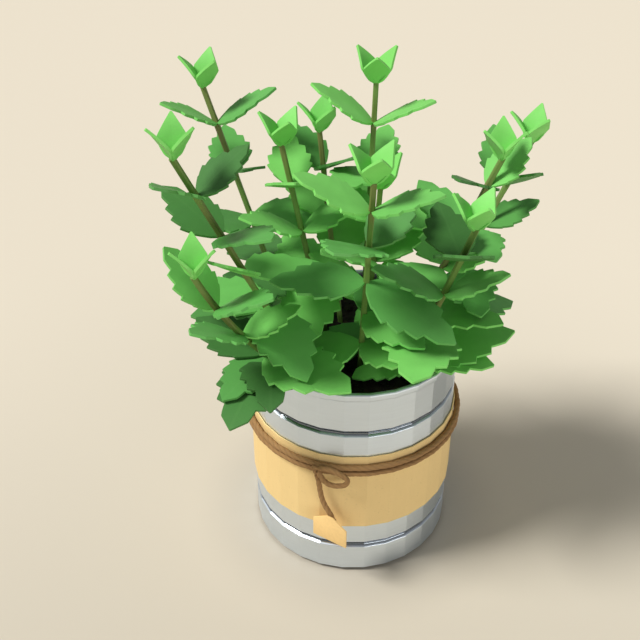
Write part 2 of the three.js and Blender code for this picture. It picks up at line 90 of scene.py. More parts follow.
# Stems: tip and root (where the stem enters the soil), distance from the tip to the first pair of leaves,
# spacing of the pairs, bearing of one leaf of the first pair and of one crown leaf, in degrees
# (0 is -Y, 90 is +X), how far the stem's middle bows from a straight line, and the greens of its pairs
# from the top down, one digit each, from 0 for the darkest to 9. The greens are partly the leaves' own colour
# and partly painted light and shade: a leaf that lies in shade is given a lighter green, and some others a
# darker one. A set leaf takes the place of its pair's leaf on that side, or is one more leaf at a distance
# from the tip. It has its pair's green if it gives none.
STEM_WIDTH = 2.4
STEM_EASE = 0.32
STEM_RULES = [
    dict(name="mint_stem_01", slot="leaf_mid", tip=(-64.7, -58, 182), root=(-33, -20), first=23.4, step=24,
         turn=56, crown=69, bow=(-1.5, -4.5, 0), greens_and_light="491444", set=[
             dict(pair=1, turn=-117, rise=42, length=33.5, green=6),
             dict(pair=2, turn=-36, rise=31, length=35, green=3),
             dict(pair=3, turn=51, rise=6, length=50, green=9),
             dict(distance=73, turn=-30, rise=-4, length=34, green=2),
             dict(distance=75, turn=-18, rise=-9, length=45, arch=0.05, green=1),
             dict(distance=77, turn=4, rise=2, length=39.5, arch=0.12, green=0)]),
    dict(name="mint_stem_02", slot="leaf_light", tip=(6.2, -46, 219.3), root=(3, -18), first=15.9, step=20.5,
         turn=80, crown=13, greens_and_light="933294", set=[
             dict(pair=1, turn=-91, rise=27, length=34.5),
             dict(pair=1, turn=66, rise=26, length=33, green=6),
             dict(pair=2, turn=-23, rise=26, length=39),
             dict(pair=2, turn=135, rise=30, length=31, green=2),
             dict(pair=3, turn=-86, rise=1, length=41),
             dict(pair=3, turn=60, rise=-20, length=46),
             dict(pair=4, turn=47, rise=-1, length=35, green=7),
             dict(pair=5, turn=48, rise=8, length=37.5)]),
    dict(name="mint_stem_03", slot="leaf_dark", tip=(48, -40, 196.2), root=(25, -19), first=18.8, step=22,
         turn=9, crown=18, greens_and_light="049944", set=[
             dict(pair=1, turn=-164, rise=17, length=33),
             dict(pair=1, turn=-1, rise=34, length=34.5, green=1),
             dict(pair=2, turn=74, rise=30, length=31, green=6),
             dict(pair=3, turn=-10, rise=7, length=48),
             dict(distance=82, turn=74, rise=2, length=36.5, green=9),
             dict(pair=4, turn=-66, rise=-8, length=30)]),
    dict(name="mint_stem_04", slot="leaf_dark", tip=(-71.2, -46, 228), root=(-26, -14), first=21.7, step=24,
         turn=132, crown=67, greens_and_light="236577", set=[
             dict(pair=1, turn=-25, rise=32, length=31.5),
             dict(pair=1, turn=126, rise=33, length=29, green=1),
             dict(pair=2, turn=-122, rise=24, length=34, green=2),
             dict(pair=3, turn=-20, rise=38, length=34, green=9),
             dict(pair=4, turn=-113, rise=0, length=44.5),
             dict(pair=4, turn=30, rise=-20, length=41)]),
    dict(name="mint_stem_05", slot="leaf_dark", tip=(61.1, -2, 208.8), root=(22, -2), first=15.4, step=22.5,
         turn=132, crown=58, greens_and_light="156944", set=[
             dict(pair=1, turn=-33, rise=29, length=29.5),
             dict(pair=1, turn=125, rise=37, length=28.5, green=7),
             dict(pair=2, turn=-142, rise=18, length=33),
             dict(pair=2, turn=19, rise=12, length=33.5, green=4),
             dict(pair=3, turn=-45, rise=5, length=42),
             dict(pair=3, turn=87, rise=25, length=28, green=9),
             dict(pair=4, turn=57, rise=9, length=42)]),
    dict(name="mint_stem_06", slot="leaf_light", tip=(10, 3, 191), root=(6, 8), first=18, step=22.5,
         turn=45, crown=0, greens_and_light="999777", set=[
             dict(pair=1, turn=-112, rise=28, length=34),
             dict(distance=78, turn=-36, rise=-5, length=36.5, green=3)]),
    dict(name="mint_stem_07", slot="leaf_light", tip=(-34.8, 20, 203), root=(-14, 8), first=21.1, step=22.5,
         turn=7, crown=23, greens_and_light="899977", set=[
             dict(pair=1, turn=-173, rise=30, length=29.5, green=9),
             dict(pair=2, turn=-60, rise=26, length=34.5)]),
    dict(name="mint_stem_08", slot="leaf_dark", tip=(77.6, 27, 202.7), root=(32, 6), first=22, step=22.5,
         turn=26, crown=32, greens_and_light="328400", set=[
             dict(pair=1, turn=-167, rise=35, length=30.5),
             dict(pair=1, turn=17, rise=35, length=30.5, green=2),
             dict(pair=2, turn=108, rise=19, length=28.5),
             dict(pair=3, turn=11, rise=-4, length=37.5, green=5),
             dict(pair=4, turn=118, rise=-14, length=46)]),
    dict(name="mint_stem_09", slot="leaf_mid", tip=(-72.2, 43, 220.2), root=(-31, 12), first=18.7, step=23.5,
         turn=108, crown=43, greens_and_light="636124", set=[
             dict(pair=1, turn=-56, rise=31, length=31),
             dict(pair=1, turn=89, rise=33, length=33, green=3),
             dict(pair=2, turn=-165, rise=21, length=29.5),
             dict(pair=2, turn=21, rise=27, length=36, green=1),
             dict(pair=3, turn=-50, rise=11, length=38, green=2),
             dict(pair=5, turn=132, rise=2, length=35, green=7)]),
    dict(name="mint_stem_10", slot="leaf_dark", tip=(-18.4, 38, 201.5), root=(-7, 16), first=18.5, step=22.5,
         turn=22, crown=44, greens_and_light="399000", set=[
             dict(pair=1, turn=-135, rise=26, length=33.5),
             dict(pair=1, turn=33, rise=32, length=31, green=2),
             dict(pair=2, turn=-126, rise=18, length=27.5)]),
    dict(name="mint_stem_11", slot="leaf_light", tip=(7.1, 37, 226.2), root=(4, 18), first=19.7, step=21,
         turn=76, crown=0, greens_and_light="979777", set=[
             dict(pair=1, turn=-87, rise=34, length=34),
             dict(pair=1, turn=62, rise=30, length=34),
             dict(pair=2, turn=163, rise=19, length=28.5, green=6)]),
]

# Where the four greens lie on a leaf's tone, and how much leaves of one green differ
DARK_GREEN = 0.0
MID_GREEN = 0.4
LIGHT_GREEN = 0.75
YOUNG_GREEN = 1.0
TONE_SPREAD = 0.1

# Leaves, listed for the pairs from the top of a stem down: rise above level and length
LEAF_RISE = [30, 23, 3, 0, -3, -3]
LEAF_LENGTH = [34.5, 37, 42, 48, 46, 42]
LEAF_WIDTH = 0.67
LEAF_ARCH = 0.02
LEAF_BASE = 0.9
LEAF_POINT = 0.35
LEAF_OFFSET = 0.5
OUTLINE_SKEW = 0.72
OUTLINE_TAPER = 1.1
TEETH = 5
TOOTH_START = 0.06
TOOTH_END = 0.9
TOOTH_LEAN = 0.85
TOOTH_CREST = 0.6
TOOTH_DEPTH = 0.05
LEAST_PAIR_HEIGHT = 6

# Crown of three young leaves, each outlined by places along it and half widths there as shares of its width
CROWN_LENGTH = 18.4
CROWN_WIDTH = 12.1
CROWN_OUTLINE = [(0, 0.08), (0.12, 0.32), (0.32, 0.46), (0.5, 0.5), (0.74, 0.27), (1, 0.03)]
CROWN_RISE = 57
CROWN_ARCH = 0.05
CROWN_SINK = 1.5

# How a leaf is turned, tilted or shortened clear of what stands near it
BLADE_CLEARANCE = 2
EDGE_CLEARANCE = 0.9
STEM_CLEARANCE = 3.2
SOIL_CLEARANCE = 1.5
RIM_CLEARANCE = 1.6
RIM_MARGIN = 2
WALL_MARGIN = 5
LEAF_MARGIN = 4
SAMPLE_SPACING = 1.8
LINE_STEPS = 200
BOW_STEPS = 8
TURN_TRIES = [0, 7, -7, 14, -14, 21, -21, 30, -30, 40, -40]
RISE_TRIES = [0, 6, -6, 12, -12, 18, -18, 26, 36]
LENGTH_TRIES = [1, 0.88, 0.76]
COST_OF_SHORTENING = 110
WALL_RADIUS = 50
WALL_THICKNESS = 1
RIM_OVERHANG = 1.5
RIM_TOP = 116.7
SOIL_LEVEL = 108
HOLE_DEPTH = 14

# How finely a blade is modelled: steps along each stretch of its outline, lanes across it, and its relief.
# Young leaves have small cuts for teeth, and a shallower fold.
RISE_STEPS = 3
TIP_STEPS = 5
BLADE_LANES = 8
TOOTH_BULGE = 0.16
YOUNG_TOOTH = 0.3
MIDRIB_FOLD = 0.45
YOUNG_FOLD = 0.6
MARGIN_WAVE = 0.22
MARGIN_WAVES = 1.4

# The stalks' detail: length of a step, and how far a knuckle spreads along the stalk
STALK_STEP = 3
KNUCKLE_SPREAD = 2.2

# Edges sharper than these stay crisp
SHARP_ANGLE = math.radians(32)
TIN_SHARP_ANGLE = math.radians(11)
PAPER_SHARP_ANGLE = math.radians(9)
TWINE_SHARP_ANGLE = math.radians(60)

# How the fibres' coordinates run along the twine at each step, and with height
FIBRE_STEP = 0.02
FIBRE_RISE = 4

# Rounding of the cut edges of paper and card
CUT_EDGE = 0.00012

# Painted shade on the floor, darker in front of the pot, and a painted contact shadow round its foot: centre,
# start and end of the fade, and tone at the centre
FLOOR_PAINTED_SHADE = [((0.0, -0.3, 0.0), 0.1, 0.6, 0.78), ((0.0, 0.0, 0.0), 0.045, 0.09, 0.8)]

# The soil's top: rings, sides, and how far the bank round a stem spreads
SOIL_RINGS = 34
SOIL_SIDES = 112
BANK_SPREAD = 0.0045


def length_property(name, description, default):
    return FloatProperty(name=name, description=description, default=default, unit="LENGTH", precision=5)


def colour_property(name, description, default):
    return FloatVectorProperty(name=name, description=description, default=default, subtype="COLOR",
                               size=3, min=0.0, max=1.0)


class CanSizes(bpy.types.PropertyGroup):
    radius: length_property("Wall radius", "From the axis to the corners of the flats", 0.050)
    wall: length_property("Wall", "Thickness of the tin, as it is seen at the mouth", 0.001)
    chamfer: length_property("Foot", "Slope between the foot and the wall", 0.0024)
    floor: length_property("Floor", "Thickness of the bottom", 0.0012)
    low_groove: length_property("Low groove", "Height of the lower groove", 0.0193)
    high_groove: length_property("High groove", "Height of the upper groove", 0.0926)
    groove_depth: length_property("Groove depth", "How far a groove is pressed in", 0.0014)
    groove_mouth: length_property("Groove mouth", "Height of a groove at the wall", 0.0038)
    groove_ledge: length_property("Groove ledge", "Height of the slope below a groove's floor", 0.0008)
    groove_floor: length_property("Groove floor", "Height of the flat at the bottom of a groove", 0.0009)
    rim_bottom: length_property("Rim bottom", "Height of the rolled rim's lower side", 0.1119)
    rim_top: length_property("Rim top", "Height of the mouth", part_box("can")[1][2])
    overhang: length_property("Overhang", "How far the rolled rim stands out of the wall", 0.0015)
    edge: length_property("Edge", "Rounding of the pressed edges", 0.0003)


class BandSizes(bpy.types.PropertyGroup):
    bottom: length_property("Bottom", "Lower edge of the paper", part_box("paper_band")[0][2])
    top: length_property("Top", "Upper edge of the paper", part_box("paper_band")[1][2])
    gap: length_property("Gap", "Room between the tin and the paper", 0.0003)
    thickness: length_property("Thickness", "Thickness of the paper", 0.0006)
    flap: length_property("Flap", "How far the glued end stands proud at the back", 0.00022)


class TwineSizes(bpy.types.PropertyGroup):
    diameter: length_property("Diameter", "Thickness of the twine", 0.0026)
    turn: length_property("Turn", "Thickness of the turns round the band", 0.0029)
    lay: length_property("Lay", "Length in which a strand goes once round", 0.0105)
    groove: length_property("Groove", "Depth of the furrows between the strands", 0.00016)
    strands: IntProperty(name="Strands", description="Strands twisted together", default=3, min=2, max=6)


class TagSizes(bpy.types.PropertyGroup):
    width: length_property("Width", "Across the card", 0.0185)
    side: length_property("Side", "Height of the straight sides", 0.011)
    roof: length_property("Roof", "Height of the pointed top", 0.005)
    clip: length_property("Clip", "Half width of the clipped point", 0.0016)
    thickness: length_property("Thickness", "Thickness of the card", 0.0008)
    turn: FloatProperty(name="Turn", description="How far the card is turned about the upright",
                        default=math.radians(-30), unit="ROTATION")


class SoilSizes(bpy.types.PropertyGroup):
    level: length_property("Level", "Height of the soil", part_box("soil")[1][2])
    radius: length_property("Radius", "Out to the inside of the can's flats", 0.0483)
    swell: length_property("Swell", "Height of the low mounds", 0.0011)
    crumb: length_property("Crumb", "Radius of the largest crumbs", 0.0019)
    crumbs: IntProperty(name="Crumbs", description="Number of loose crumbs", default=420, min=0)
    seed: IntProperty(name="Seed", description="Seed of the scattered crumbs", default=4)


class LeafSizes(bpy.types.PropertyGroup):
    thickness: length_property("Thickness", "Thickness of a blade", 0.0012)
    rim: length_property("Rim", "Slope along a blade's edges", 0.00018)
    knuckle: FloatProperty(name="Knuckle", description="How much a stem swells where a pair of leaves grows",
                           default=0.14, subtype="FACTOR")
    seed: IntProperty(name="Seed", description="Seed of the small differences between leaves", default=11)


class MintColours(bpy.types.PropertyGroup):
    tin: colour_property("Tin", "Bright rolled tin", (0.73, 0.81, 0.90))
    paper: colour_property("Paper", "Kraft paper band", (0.83, 0.605, 0.27))
    twine: colour_property("Twine", "Jute twine", (0.34, 0.19, 0.072))
    card: colour_property("Card", "Card of the tag", (0.88, 0.60, 0.25))
    soil: colour_property("Soil", "Moist potting soil", (0.012, 0.0065, 0.004))
    stem: colour_property("Stem", "Green of the stems", (0.15, 0.27, 0.05))
    stem_bark: colour_property("Stem bark", "Brown tint of the stems", (0.20, 0.20, 0.06))
    dark: colour_property("Dark leaf", "Green of the darkest leaves", (0.048, 0.155, 0.036))
    mid: colour_property("Mid leaf", "Green of the middling leaves", (0.137, 0.455, 0.102))
    light: colour_property("Light leaf", "Green of the light leaves", (0.213, 0.64, 0.14))
    young: colour_property("Young leaf", "Green of the crowns", (0.235, 0.695, 0.15))
    mottle: colour_property("Leaf mottle", "Deeper green of the leaves' faint mottle", (0.06, 0.22, 0.03))
    vein: colour_property("Vein", "Pale green of the leaves' veins", (0.3, 0.6, 0.2))
    floor: colour_property("Floor", "Studio floor", (0.78, 0.71, 0.585))
    sunlight: colour_property("Sunlight", "Colour of the high light", (1.0, 0.985, 0.955))


class StageSettings(bpy.types.PropertyGroup):
    place: FloatVectorProperty(name="Camera place", description="Where the camera stands", size=3,
                               default=(0.0, -0.39343, 0.40436), subtype="TRANSLATION", unit="LENGTH")
    pitch: FloatProperty(name="Camera pitch", description="How far the camera looks down",
                         default=math.radians(35.8), unit="ROTATION")
    yaw: FloatProperty(name="Camera yaw", description="How far the camera turns left of +Y",
                       default=math.radians(2.4), unit="ROTATION")
    field: FloatProperty(name="Field of view", description="Across the square picture",
                         default=math.radians(35), unit="ROTATION")
    key: FloatProperty(name="Key", description="Strength of the high light on the left", default=3.3)
    key_bearing: FloatProperty(name="Key bearing", description="Bearing of the high light, 0 at -Y",
                               default=math.radians(-76), unit="ROTATION")
    key_height: FloatProperty(name="Key height", description="How high the light stands",
                              default=math.radians(50), unit="ROTATION")
    key_size: FloatProperty(name="Key size", description="How wide the light looks from the plant",
                            default=math.radians(18), unit="ROTATION")
    fill: FloatProperty(name="Fill", description="Power of the low soft light in front", default=11,
                        subtype="POWER")
    fill_place: FloatVectorProperty(name="Fill place", description="Where the low soft light hangs", size=3,
                                    default=(1.25, -1.6, 0.36), subtype="TRANSLATION", unit="LENGTH")
    floor: length_property("Floor", "Radius of the studio floor", 4.0)
    sky: FloatProperty(name="Sky", description="Strength of the even light from all round", default=0.27)


class MintSettings(bpy.types.PropertyGroup):
    can: PointerProperty(type=CanSizes)
    band: PointerProperty(type=BandSizes)
    twine: PointerProperty(type=TwineSizes)
    tag: PointerProperty(type=TagSizes)
    soil: PointerProperty(type=SoilSizes)
    leaf: PointerProperty(type=LeafSizes)
    colours: PointerProperty(type=MintColours)
    stage: PointerProperty(type=StageSettings)


class Value:
    """One output of a shader node. Python's operators on it add Math nodes."""

    def __init__(self, finish, output):
        self.finish = finish
        self.output = output

    def other(self, name):
        """Another output of the same node."""
        return Value(self.finish, self.output.node.outputs[name])

    def math(self, operation, *terms):
        return self.finish.node("ShaderNodeMath", {"operation": operation}, dict(enumerate(terms)))

    def __add__(self, term):
        return self.math("ADD", self, term)

    def __sub__(self, term):
        return self.math("SUBTRACT", self, term)

    def __rsub__(self, term):
        return self.math("SUBTRACT", term, self)

    def __mul__(self, term):
        return self.math("MULTIPLY", self, term)

    def __abs__(self):
        return self.math("ABSOLUTE", self)

    __radd__ = __add__
    __rmul__ = __mul__


class Finish:
    """A material with one Principled shader and the nodes that feed it."""

    def __init__(self, name, **constants):
        self.material = bpy.data.materials.new(name)
        self.material.use_nodes = True
        self.tree = self.material.node_tree
        self.shader = self.tree.nodes["Principled BSDF"]
        for socket, value in constants.items():
            self.shader.inputs[socket.replace("_", " ")].default_value = value
        self.object_place = self.node("ShaderNodeTexCoord").other("Object")
        self.surface_place = self.object_place.other("UV")

    def node(self, kind, settings=None, values=None, output=0):
        """A node of that type: its settings first, then the values or links of its sockets."""
        made = self.tree.nodes.new(kind)
        for name, value in (settings or {}).items():
            setattr(made, name, value)
        for name, value in (values or {}).items():
            if isinstance(value, Value):
                self.tree.links.new(value.output, made.inputs[name])
            else:
                made.inputs[name].default_value = value
        return Value(self, made.outputs[output])

    def feed(self, socket, value):
        self.tree.links.new(value.output, self.shader.inputs[socket])

    def blotches(self, scale, detail=2.0, place=None, roughness=0.5):
        """Soft noise between 0 and 1."""
        place = place or self.object_place
        values = {"Vector": place, "Scale": scale, "Detail": detail, "Roughness": roughness}
        return self.node("ShaderNodeTexNoise", None, values)

    def stretched(self, scale):
        """The object's coordinates, stretched for streaks and fibres."""
        return self.node("ShaderNodeMapping", None, {"Vector": self.object_place, "Scale": scale})

    def between(self, value, low, high, start=0.0, end=1.0):
        """A value from low to high, spread smoothly from start to end."""
        values = {0: value, 1: low, 2: high, 3: start, 4: end}
        return self.node("ShaderNodeMapRange", {"interpolation_type": "SMOOTHSTEP"}, values)

    def mixed(self, factor, first, second, blend="MIX"):
        settings = {"data_type": "RGBA", "blend_type": blend}
        return self.node("ShaderNodeMix", settings, {0: factor, 6: first, 7: second}, output=2)

    def relief(self, height, strength, depth):
        values = {"Strength": strength, "Distance": depth, "Height": height}
        self.feed("Normal", self.node("ShaderNodeBump", None, values))


def tinted(colour, factor):
    """A colour made lighter or darker, with its alpha."""
    return (*[min(1.0, channel * factor) for channel in colour], 1.0)


def tin_finish(colours, sizes):
    """Bright tin: faint rolling streaks up the wall, soft handling marks, and painted shade that darkens its
    grooves and its foot, where it is also glossier.
    """
    finish = Finish("rolled_tin", Metallic=1.0)
    streaks = finish.blotches(60, 3, finish.stretched((1, 1, 12)))
    marks = finish.blotches(38, 4)
    tone = finish.between(streaks * 0.4 + marks * 0.6, 0.3, 0.7)
    height = finish.node("ShaderNodeSeparateXYZ", None, {"Vector": finish.object_place}).other("Z")
    # Painted shade: a mask that is 1 at the foot and in the grooves
    groove_and_foot_shade = 1 - finish.between(height, sizes.chamfer * 0.7, sizes.chamfer * 1.1)
    for groove in (sizes.low_groove, sizes.high_groove):
        away = abs(height - groove)
        groove_shade = 1 - finish.between(away, sizes.groove_mouth * 0.25, sizes.groove_mouth * 0.5)
        groove_and_foot_shade = groove_and_foot_shade.math("MAXIMUM", groove_and_foot_shade, groove_shade)
    wall = finish.mixed(tone, tinted(colours.tin, 0.97), tinted(colours.tin, 1.02))
    # Painted shade darkens the tin there to 0.3 of its colour
    finish.feed("Base Color", finish.mixed(groove_and_foot_shade, wall, tinted(colours.tin, 0.3)))
    finish.feed("Roughness", finish.between(groove_and_foot_shade, 0.0, 1.0, 0.38, 0.16))
    finish.relief(streaks, 0.05, 0.0001)
    return finish.material


def paper_finish(colours):
    """Kraft paper: short fibres, a slight mottle and a dry surface."""
    finish = Finish("kraft_paper", Roughness=0.82)
    fibres = finish.blotches(420, 3, finish.stretched((1, 1, 0.22)), 0.65)
    mottle = finish.blotches(70, 4)
    flecks = finish.between(finish.blotches(900, 1), 0.66, 0.74)
    base = finish.mixed(finish.between(fibres * 0.5 + mottle * 0.5, 0.35, 0.65),
                        tinted(colours.paper, 0.985), tinted(colours.paper, 1.01))
    finish.feed("Base Color", finish.mixed(flecks * 0.25, base, tinted(colours.paper, 0.7)))
    finish.relief(fibres, 0.06, 0.0002)
    return finish.material


def twine_finish(colours):
    """Jute: fibres along the strands, with painted shade that darkens the furrows between them."""
    finish = Finish("jute_twine", Roughness=0.9)
    furrow = finish.node("ShaderNodeAttribute", {"attribute_name": "furrow"}).other("Fac")
    fibres = finish.blotches(1800, 2, finish.surface_place, 0.6)
    base = finish.mixed(finish.between(fibres, 0.3, 0.7),
                        tinted(colours.twine, 0.92), tinted(colours.twine, 1.08))
    # Painted shade: the deeper in a furrow, the darker the twine
    finish.feed("Base Color", finish.mixed(furrow * 0.35, base, tinted(colours.twine, 0.5)))
    finish.relief(fibres, 0.25, 0.0002)
    return finish.material


def card_finish(colours):
    """Card of the tag: smooth, with a faint grain."""
    finish = Finish("card", Roughness=0.75)
    grain = finish.blotches(650, 3, None, 0.6)
    finish.feed("Base Color", finish.mixed(finish.between(grain, 0.35, 0.65),
                                           tinted(colours.card, 0.97), tinted(colours.card, 1.02)))
    finish.relief(grain, 0.08, 0.0001)
    return finish.material


def soil_finish(colours):
    """Moist soil: dark crumbs with a few paler bits of bark."""
    finish = Finish("potting_soil", Roughness=0.95)
    lumps = finish.blotches(320, 5, None, 0.65)
    bark = finish.between(finish.blotches(170, 1), 0.62, 0.7)
    base = finish.mixed(finish.between(lumps, 0.35, 0.7),
                        tinted(colours.soil, 0.6), tinted(colours.soil, 1.9))
    finish.feed("Base Color", finish.mixed(bark * 0.5, base, tinted(colours.soil, 4.5)))
    finish.relief(lumps, 0.6, 0.0008)
    return finish.material


def leaf_finish(colours):
    """A mint leaf: its green from the tone attribute, which also holds painted light and shade, faint veins
    that run to the teeth, and a soft sheen.
    """
    finish = Finish("mint_leaf", Roughness=0.55)
    finish.shader.inputs["Specular IOR Level"].default_value = 0.25
    tone = finish.node("ShaderNodeAttribute", {"attribute_name": "tone"}).other("Fac")
    dark_to_mid = finish.between(tone, DARK_GREEN, MID_GREEN)
    mid_to_light = finish.between(tone, MID_GREEN, LIGHT_GREEN)
    light_to_young = finish.between(tone, LIGHT_GREEN, YOUNG_GREEN)
    green = finish.mixed(dark_to_mid, tinted(colours.dark, 1), tinted(colours.mid, 1))
    green = finish.mixed(mid_to_light, green, tinted(colours.light, 1))
    green = finish.mixed(light_to_young, green, tinted(colours.young, 1))
    split = finish.node("ShaderNodeSeparateXYZ", None, {"Vector": finish.surface_place})
    along = split.other("X")
    aside = abs(split.other("Y") - 0.5) * 2
    pitch = (TOOTH_END - TOOTH_START) / TEETH
    course = (along - aside * 0.2) * (1 / pitch)
    ladder = course.math("PINGPONG", course, 0.5)
    side_veins = (1 - finish.between(ladder, 0.0, 0.09)) * finish.between(aside, 0.8, 0.4)
    midrib = 1 - finish.between(aside, 0.02, 0.07)
    veins = side_veins.math("MAXIMUM", side_veins * 0.6, midrib)
    mottle = finish.between(finish.blotches(55, 3), 0.35, 0.65)
    green = finish.mixed(mottle * 0.14, green, tinted(colours.mottle, 1))
    finish.feed("Base Color", finish.mixed(veins * 0.025, green, tinted(colours.vein, 1)))
    finish.feed("Roughness", finish.between(mottle, 0.0, 1.0, 0.5, 0.6))
    finish.relief(veins * -1 + finish.blotches(420, 2) * 0.35, 0.05, 0.0003)
    return finish.material


def stem_finish(colours):
    """A square mint stem: olive green, with brown tints that come and go along it."""
    finish = Finish("mint_stem", Roughness=0.6)
    patches = finish.between(finish.blotches(26, 2, finish.stretched((1, 1, 0.6))), 0.42, 0.6)
    streaks = finish.between(finish.blotches(700, 2, finish.stretched((1, 1, 0.08))), 0.3, 0.7)
    base = finish.mixed(patches, tinted(colours.stem, 1), tinted(colours.stem_bark, 1))
    finish.feed("Base Color", finish.mixed(streaks * 0.2, base, tinted(colours.stem, 0.6)))
    finish.relief(streaks, 0.15, 0.0002)
    return finish.material


def floor_finish(colours):
    """Seamless studio paper, with painted shade that darkens it in front of the plant and a painted contact
    shadow round the foot of the pot.
    """
    finish = Finish("studio_floor", Roughness=0.95)
    finish.shader.inputs["Specular IOR Level"].default_value = 0.0
    tone = 1.0
    # Painted shade: each entry darkens the floor's colour towards its centre
    for centre, start, end, deepest in FLOOR_PAINTED_SHADE:
        values = {0: finish.object_place, 1: centre}
        distance = finish.node("ShaderNodeVectorMath", {"operation": "DISTANCE"}, values).other("Value")
        tone = tone * finish.between(distance, start, end, deepest, 1.0)
    finish.feed("Base Color", finish.mixed(tone, (0, 0, 0, 1), tinted(colours.floor, 1)))
    return finish.material


def add_piece(name, bm, materials, nodes=()):
    """A finished piece from a bmesh in metres. It rides on the part's one body and stands for its nodes."""
    mesh = bpy.data.meshes.new(name)
    bm.to_mesh(mesh)
    bm.free()
    for material in materials:
        mesh.materials.append(material)
    piece = bpy.data.objects.new(name, mesh)
    bpy.context.scene.collection.objects.link(piece)
    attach(piece, BODY)
    if nodes:
        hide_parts(*nodes)
    return piece


def shade(bm, angle=SHARP_ANGLE):
    """Smooth faces, with the edges sharper than an angle kept crisp."""
    for face in bm.faces:
        face.smooth = True
    for edge in bm.edges:
        edge.smooth = len(edge.link_faces) == 2 and edge.calc_face_angle() < angle


def rounded(corners, steps=3):
    """A profile of (radius, height, rounding) corners, each rounded by a short curve."""
    profile = []
    for i, (radius, height, rounding) in enumerate(corners):
        here = Vector((radius, height))
        if rounding == 0 or i in (0, len(corners) - 1):
            profile.append(here)
            continue
        before = Vector(corners[i - 1][:2]) - here
        after = Vector(corners[i + 1][:2]) - here
        start = here + before.normalized() * rounding
        end = here + after.normalized() * rounding
        for step in range(steps + 1):
            share = step / steps
            profile.append(start * (1 - share) ** 2 + here * 2 * share * (1 - share) + end * share ** 2)
    return profile


def spun(profile, sides=CAN_SIDES, turn=CAN_TURN, closed=False):
    """A profile of (radius, height) points spun round the can's axis, with one flat for each side."""
    bm = bmesh.new()
    start = Matrix.Rotation(turn, 4, "Z")
    verts = [bm.verts.new(start @ Vector((0, -radius, height))) for radius, height in profile]
    ends = zip(verts, verts[1:] + verts[:1]) if closed else zip(verts, verts[1:])
    edges = [bm.edges.new(pair) for pair in ends]
    bmesh.ops.spin(bm, geom=verts + edges, cent=(0, 0, 0), axis=(0, 0, 1), angle=2 * math.pi,
                   steps=sides, use_merge=True)
    bmesh.ops.remove_doubles(bm, verts=bm.verts, dist=1e-6)
    bmesh.ops.recalc_face_normals(bm, faces=bm.faces)
    return bm


def smooth_route(route, steps):
    """A curve through the points of a route, with steps between each two."""
    points = np.array(route, float)
    padded = np.vstack([2 * points[0] - points[1], points, 2 * points[-1] - points[-2]])
    curve = []
    for a, b, c, d in zip(padded, padded[1:], padded[2:], padded[3:]):
        for step in range(steps):
            t = step / steps
            curve.append(0.5 * (2 * b + (c - a) * t + (2 * a - 5 * b + 4 * c - d) * t ** 2
                                + (3 * b - a - 3 * c + d) * t ** 3))
    curve.append(points[-1])
    return [Vector(point) for point in curve]


def frames_along(points, closed=False, twist=0.0, widths=None):
    """A frame at each point of a line, its Z along the line, turned by the twist for each unit of length."""
    count = len(points)
    frames = []
    side = None
    travelled = 0.0
    for i, point in enumerate(points):
        before = points[i - 1] if i or closed else point
        after = points[(i + 1) % count] if i + 1 < count or closed else point
        ahead = (after - before).normalized()
        if side is None:
            side = ahead.orthogonal().normalized()
        side = (side - ahead * side.dot(ahead)).normalized()
        if i:
            travelled += (point - points[i - 1]).length
        axes = Matrix((side, ahead.cross(side), ahead)).transposed().to_4x4()
        size = widths[i] if widths else 1.0
        turned = axes @ Matrix.Rotation(twist * travelled, 4, "Z") @ Matrix.Diagonal((size, size, 1, 1))
        frames.append(Matrix.Translation(point) @ turned)
    return frames


def sweep(bm, section, frames, closed=False):
    """A section of flat points carried along frames by extrusion, and capped or joined at its ends."""
    first = [bm.verts.new(frames[0] @ Vector((x, y, 0))) for x, y in section]
    edges = [bm.edges.new(pair) for pair in zip(first, first[1:] + first[:1])]
    if not closed:
        bm.faces.new(first[::-1])
    ahead = frames[1:] + (frames[:1] if closed else [])
    last = frames[0]
    for target in ahead:
        grown = bmesh.ops.extrude_edge_only(bm, edges=edges)["geom"]
        verts = [part for part in grown if isinstance(part, bmesh.types.BMVert)]
        edges = [part for part in grown if isinstance(part, bmesh.types.BMEdge)]
        bmesh.ops.transform(bm, matrix=target @ last.inverted(), verts=verts)
        last = target
    if closed:
        bmesh.ops.remove_doubles(bm, verts=bm.verts, dist=1e-6)
    else:
        bmesh.ops.holes_fill(bm, edges=edges, sides=len(section))
    bmesh.ops.recalc_face_normals(bm, faces=bm.faces)


def strand_section(sizes, scale=1.0, points=18):
    """The outline of strands twisted together: a circle with a furrow between each two strands."""
    outline = []
    for i in range(points):
        angle = 2 * math.pi * i / points
        furrow = (0.5 + 0.5 * math.cos(sizes.strands * angle)) ** 3
        radius = sizes.diameter / 2 - sizes.groove * furrow
        outline.append((scale * radius * math.cos(angle), scale * radius * math.sin(angle)))
    return outline


